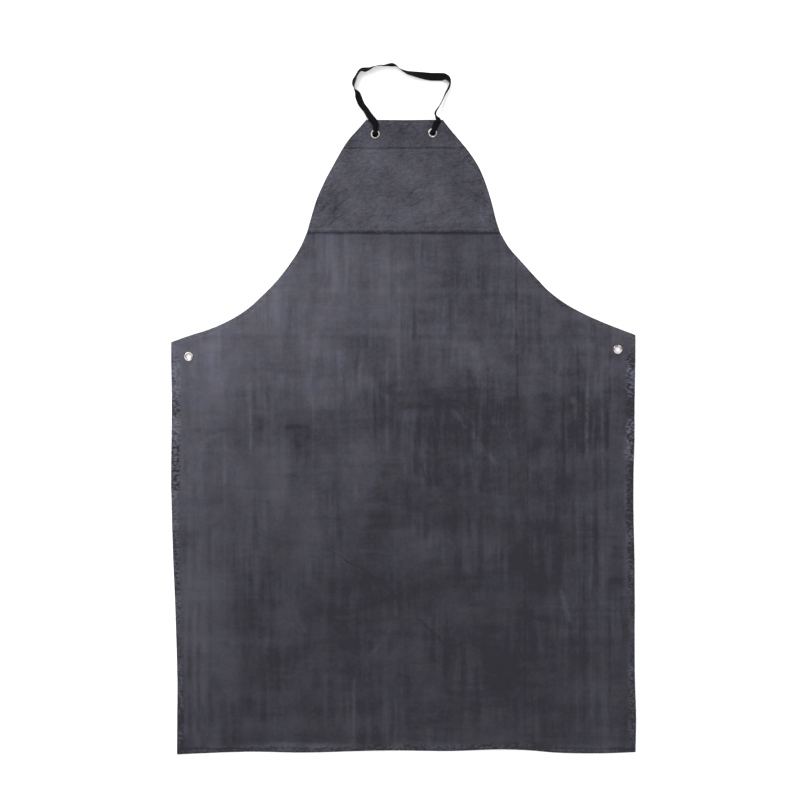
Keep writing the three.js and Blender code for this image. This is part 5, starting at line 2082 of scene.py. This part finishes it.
@dataclass(frozen=True)
class Studio:
    """Camera, lights and ground."""

    frame_pixels: int = 800
    lens_mm: float = 85.0
    sensor_mm: float = 36.0
    floor_half: float = 8.0
    floor_depth: float = 0.2 * MM
    sky_strength: float = 1.2
    lights: tuple[SoftLight, ...] = (
        SoftLight("key", (-1.5, 2.3, 2.0), 2.6, 90.0),
        SoftLight("fill", (2.2, -0.6, 2.4), 2.0, 8.0),
    )

    def build(self) -> None:
        """Makes the camera, the lights and the ground."""
        self._camera()
        self._ground()
        self._lights()
        settings = bpy.context.scene.view_settings
        settings.view_transform = "Standard"
        settings.look = "None"
        settings.exposure = 0.0
        settings.gamma = 1.0

    def _camera(self) -> None:
        """Looks straight down on the apron, as the photograph does."""
        x, y = photo_place(self.frame_pixels / 2, self.frame_pixels / 2)
        distance = PHOTO_PIXEL * self.frame_pixels / self.sensor_mm * self.lens_mm
        data = bpy.data.cameras.new("camera")
        data.lens = self.lens_mm
        data.sensor_width = self.sensor_mm
        data.clip_end = 50.0
        camera = bpy.data.objects.new("camera", data)
        camera.location = (x, y, distance)
        bpy.context.scene.collection.objects.link(camera)
        bpy.context.scene.camera = camera

    def _ground(self) -> None:
        """Lays the plain pale floor just under the apron."""
        signs = ((-1, -1), (1, -1), (1, 1), (-1, 1))
        corners = np.array([(x * self.floor_half, y * self.floor_half, -self.floor_depth) for x, y in signs])
        floor = new_object("floor", corners, np.array([[0, 1, 2, 3]]), FloorFinish())

    def _lights(self) -> None:
        """A pale sky, and the soft lights, which all face the middle of the apron."""
        world = bpy.data.worlds.new("sky")
        world.use_nodes = True
        sky = world.node_tree.nodes["Background"].inputs
        sky["Color"].default_value = (1.0, 1.0, 1.0, 1.0)
        sky["Strength"].default_value = self.sky_strength
        bpy.context.scene.world = world
        for soft in self.lights:
            data = bpy.data.lights.new(soft.name, "AREA")
            data.size = soft.size
            data.energy = soft.power
            light = bpy.data.objects.new(soft.name, data)
            light.location = soft.place
            light.rotation_euler = (-Vector(soft.place)).to_track_quat("-Z", "Y").to_euler()
            bpy.context.scene.collection.objects.link(light)


def frame_origin(cut: ApronCut) -> Vector:
    """Where the middle of the bottom edge lies in the frame, from the left waist eyelet's node."""
    low, high = (Vector(corner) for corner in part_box("waist_eyelet_left"))
    x, y = cut.eyelets()["waist_eyelet_left"]
    return Vector(((low.x + high.x) / 2 - x, (low.y + high.y) / 2 - y, 0.0))


def plan_area(thing: bpy.types.Object) -> float:
    """Area of a flat-lying piece as seen from above."""
    count = len(thing.data.polygons)
    normals, areas = np.empty(3 * count), np.empty(count)
    thing.data.polygons.foreach_get("normal", normals)
    thing.data.polygons.foreach_get("area", areas)
    return float((np.abs(normals[2::3]) * areas).sum() / 2)


def main() -> None:
    """Builds every piece around the frame."""
    logging.basicConfig(level=logging.INFO, format="%(name)s: %(message)s")
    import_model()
    Studio().build()
    cut = ApronCut()
    origin = frame_origin(cut)
    sheets = RubberSheets(cut, origin)
    sheet = sheets.build_sheet()
    facing = sheets.build_facing()
    for node in cut.eyelets():
        RolledEyelet(node).build()
    neck_tape = NeckTape(cut, origin)
    tape = neck_tape.build()
    dress_piece(tape, ["neck_tape"])
    hems = cut.side_hem * (2 * cut.length + cut.skirt_width) + cut.top_hem * cut.bib_width_at_top
    sheet_area, facing_area = plan_area(sheet) + hems, plan_area(facing)
    LOG.info("sheet %.3f m2 cut, facing %.3f m2, tape %.3f m", sheet_area, facing_area, neck_tape.length)


if __name__ == "__main__":
    main()
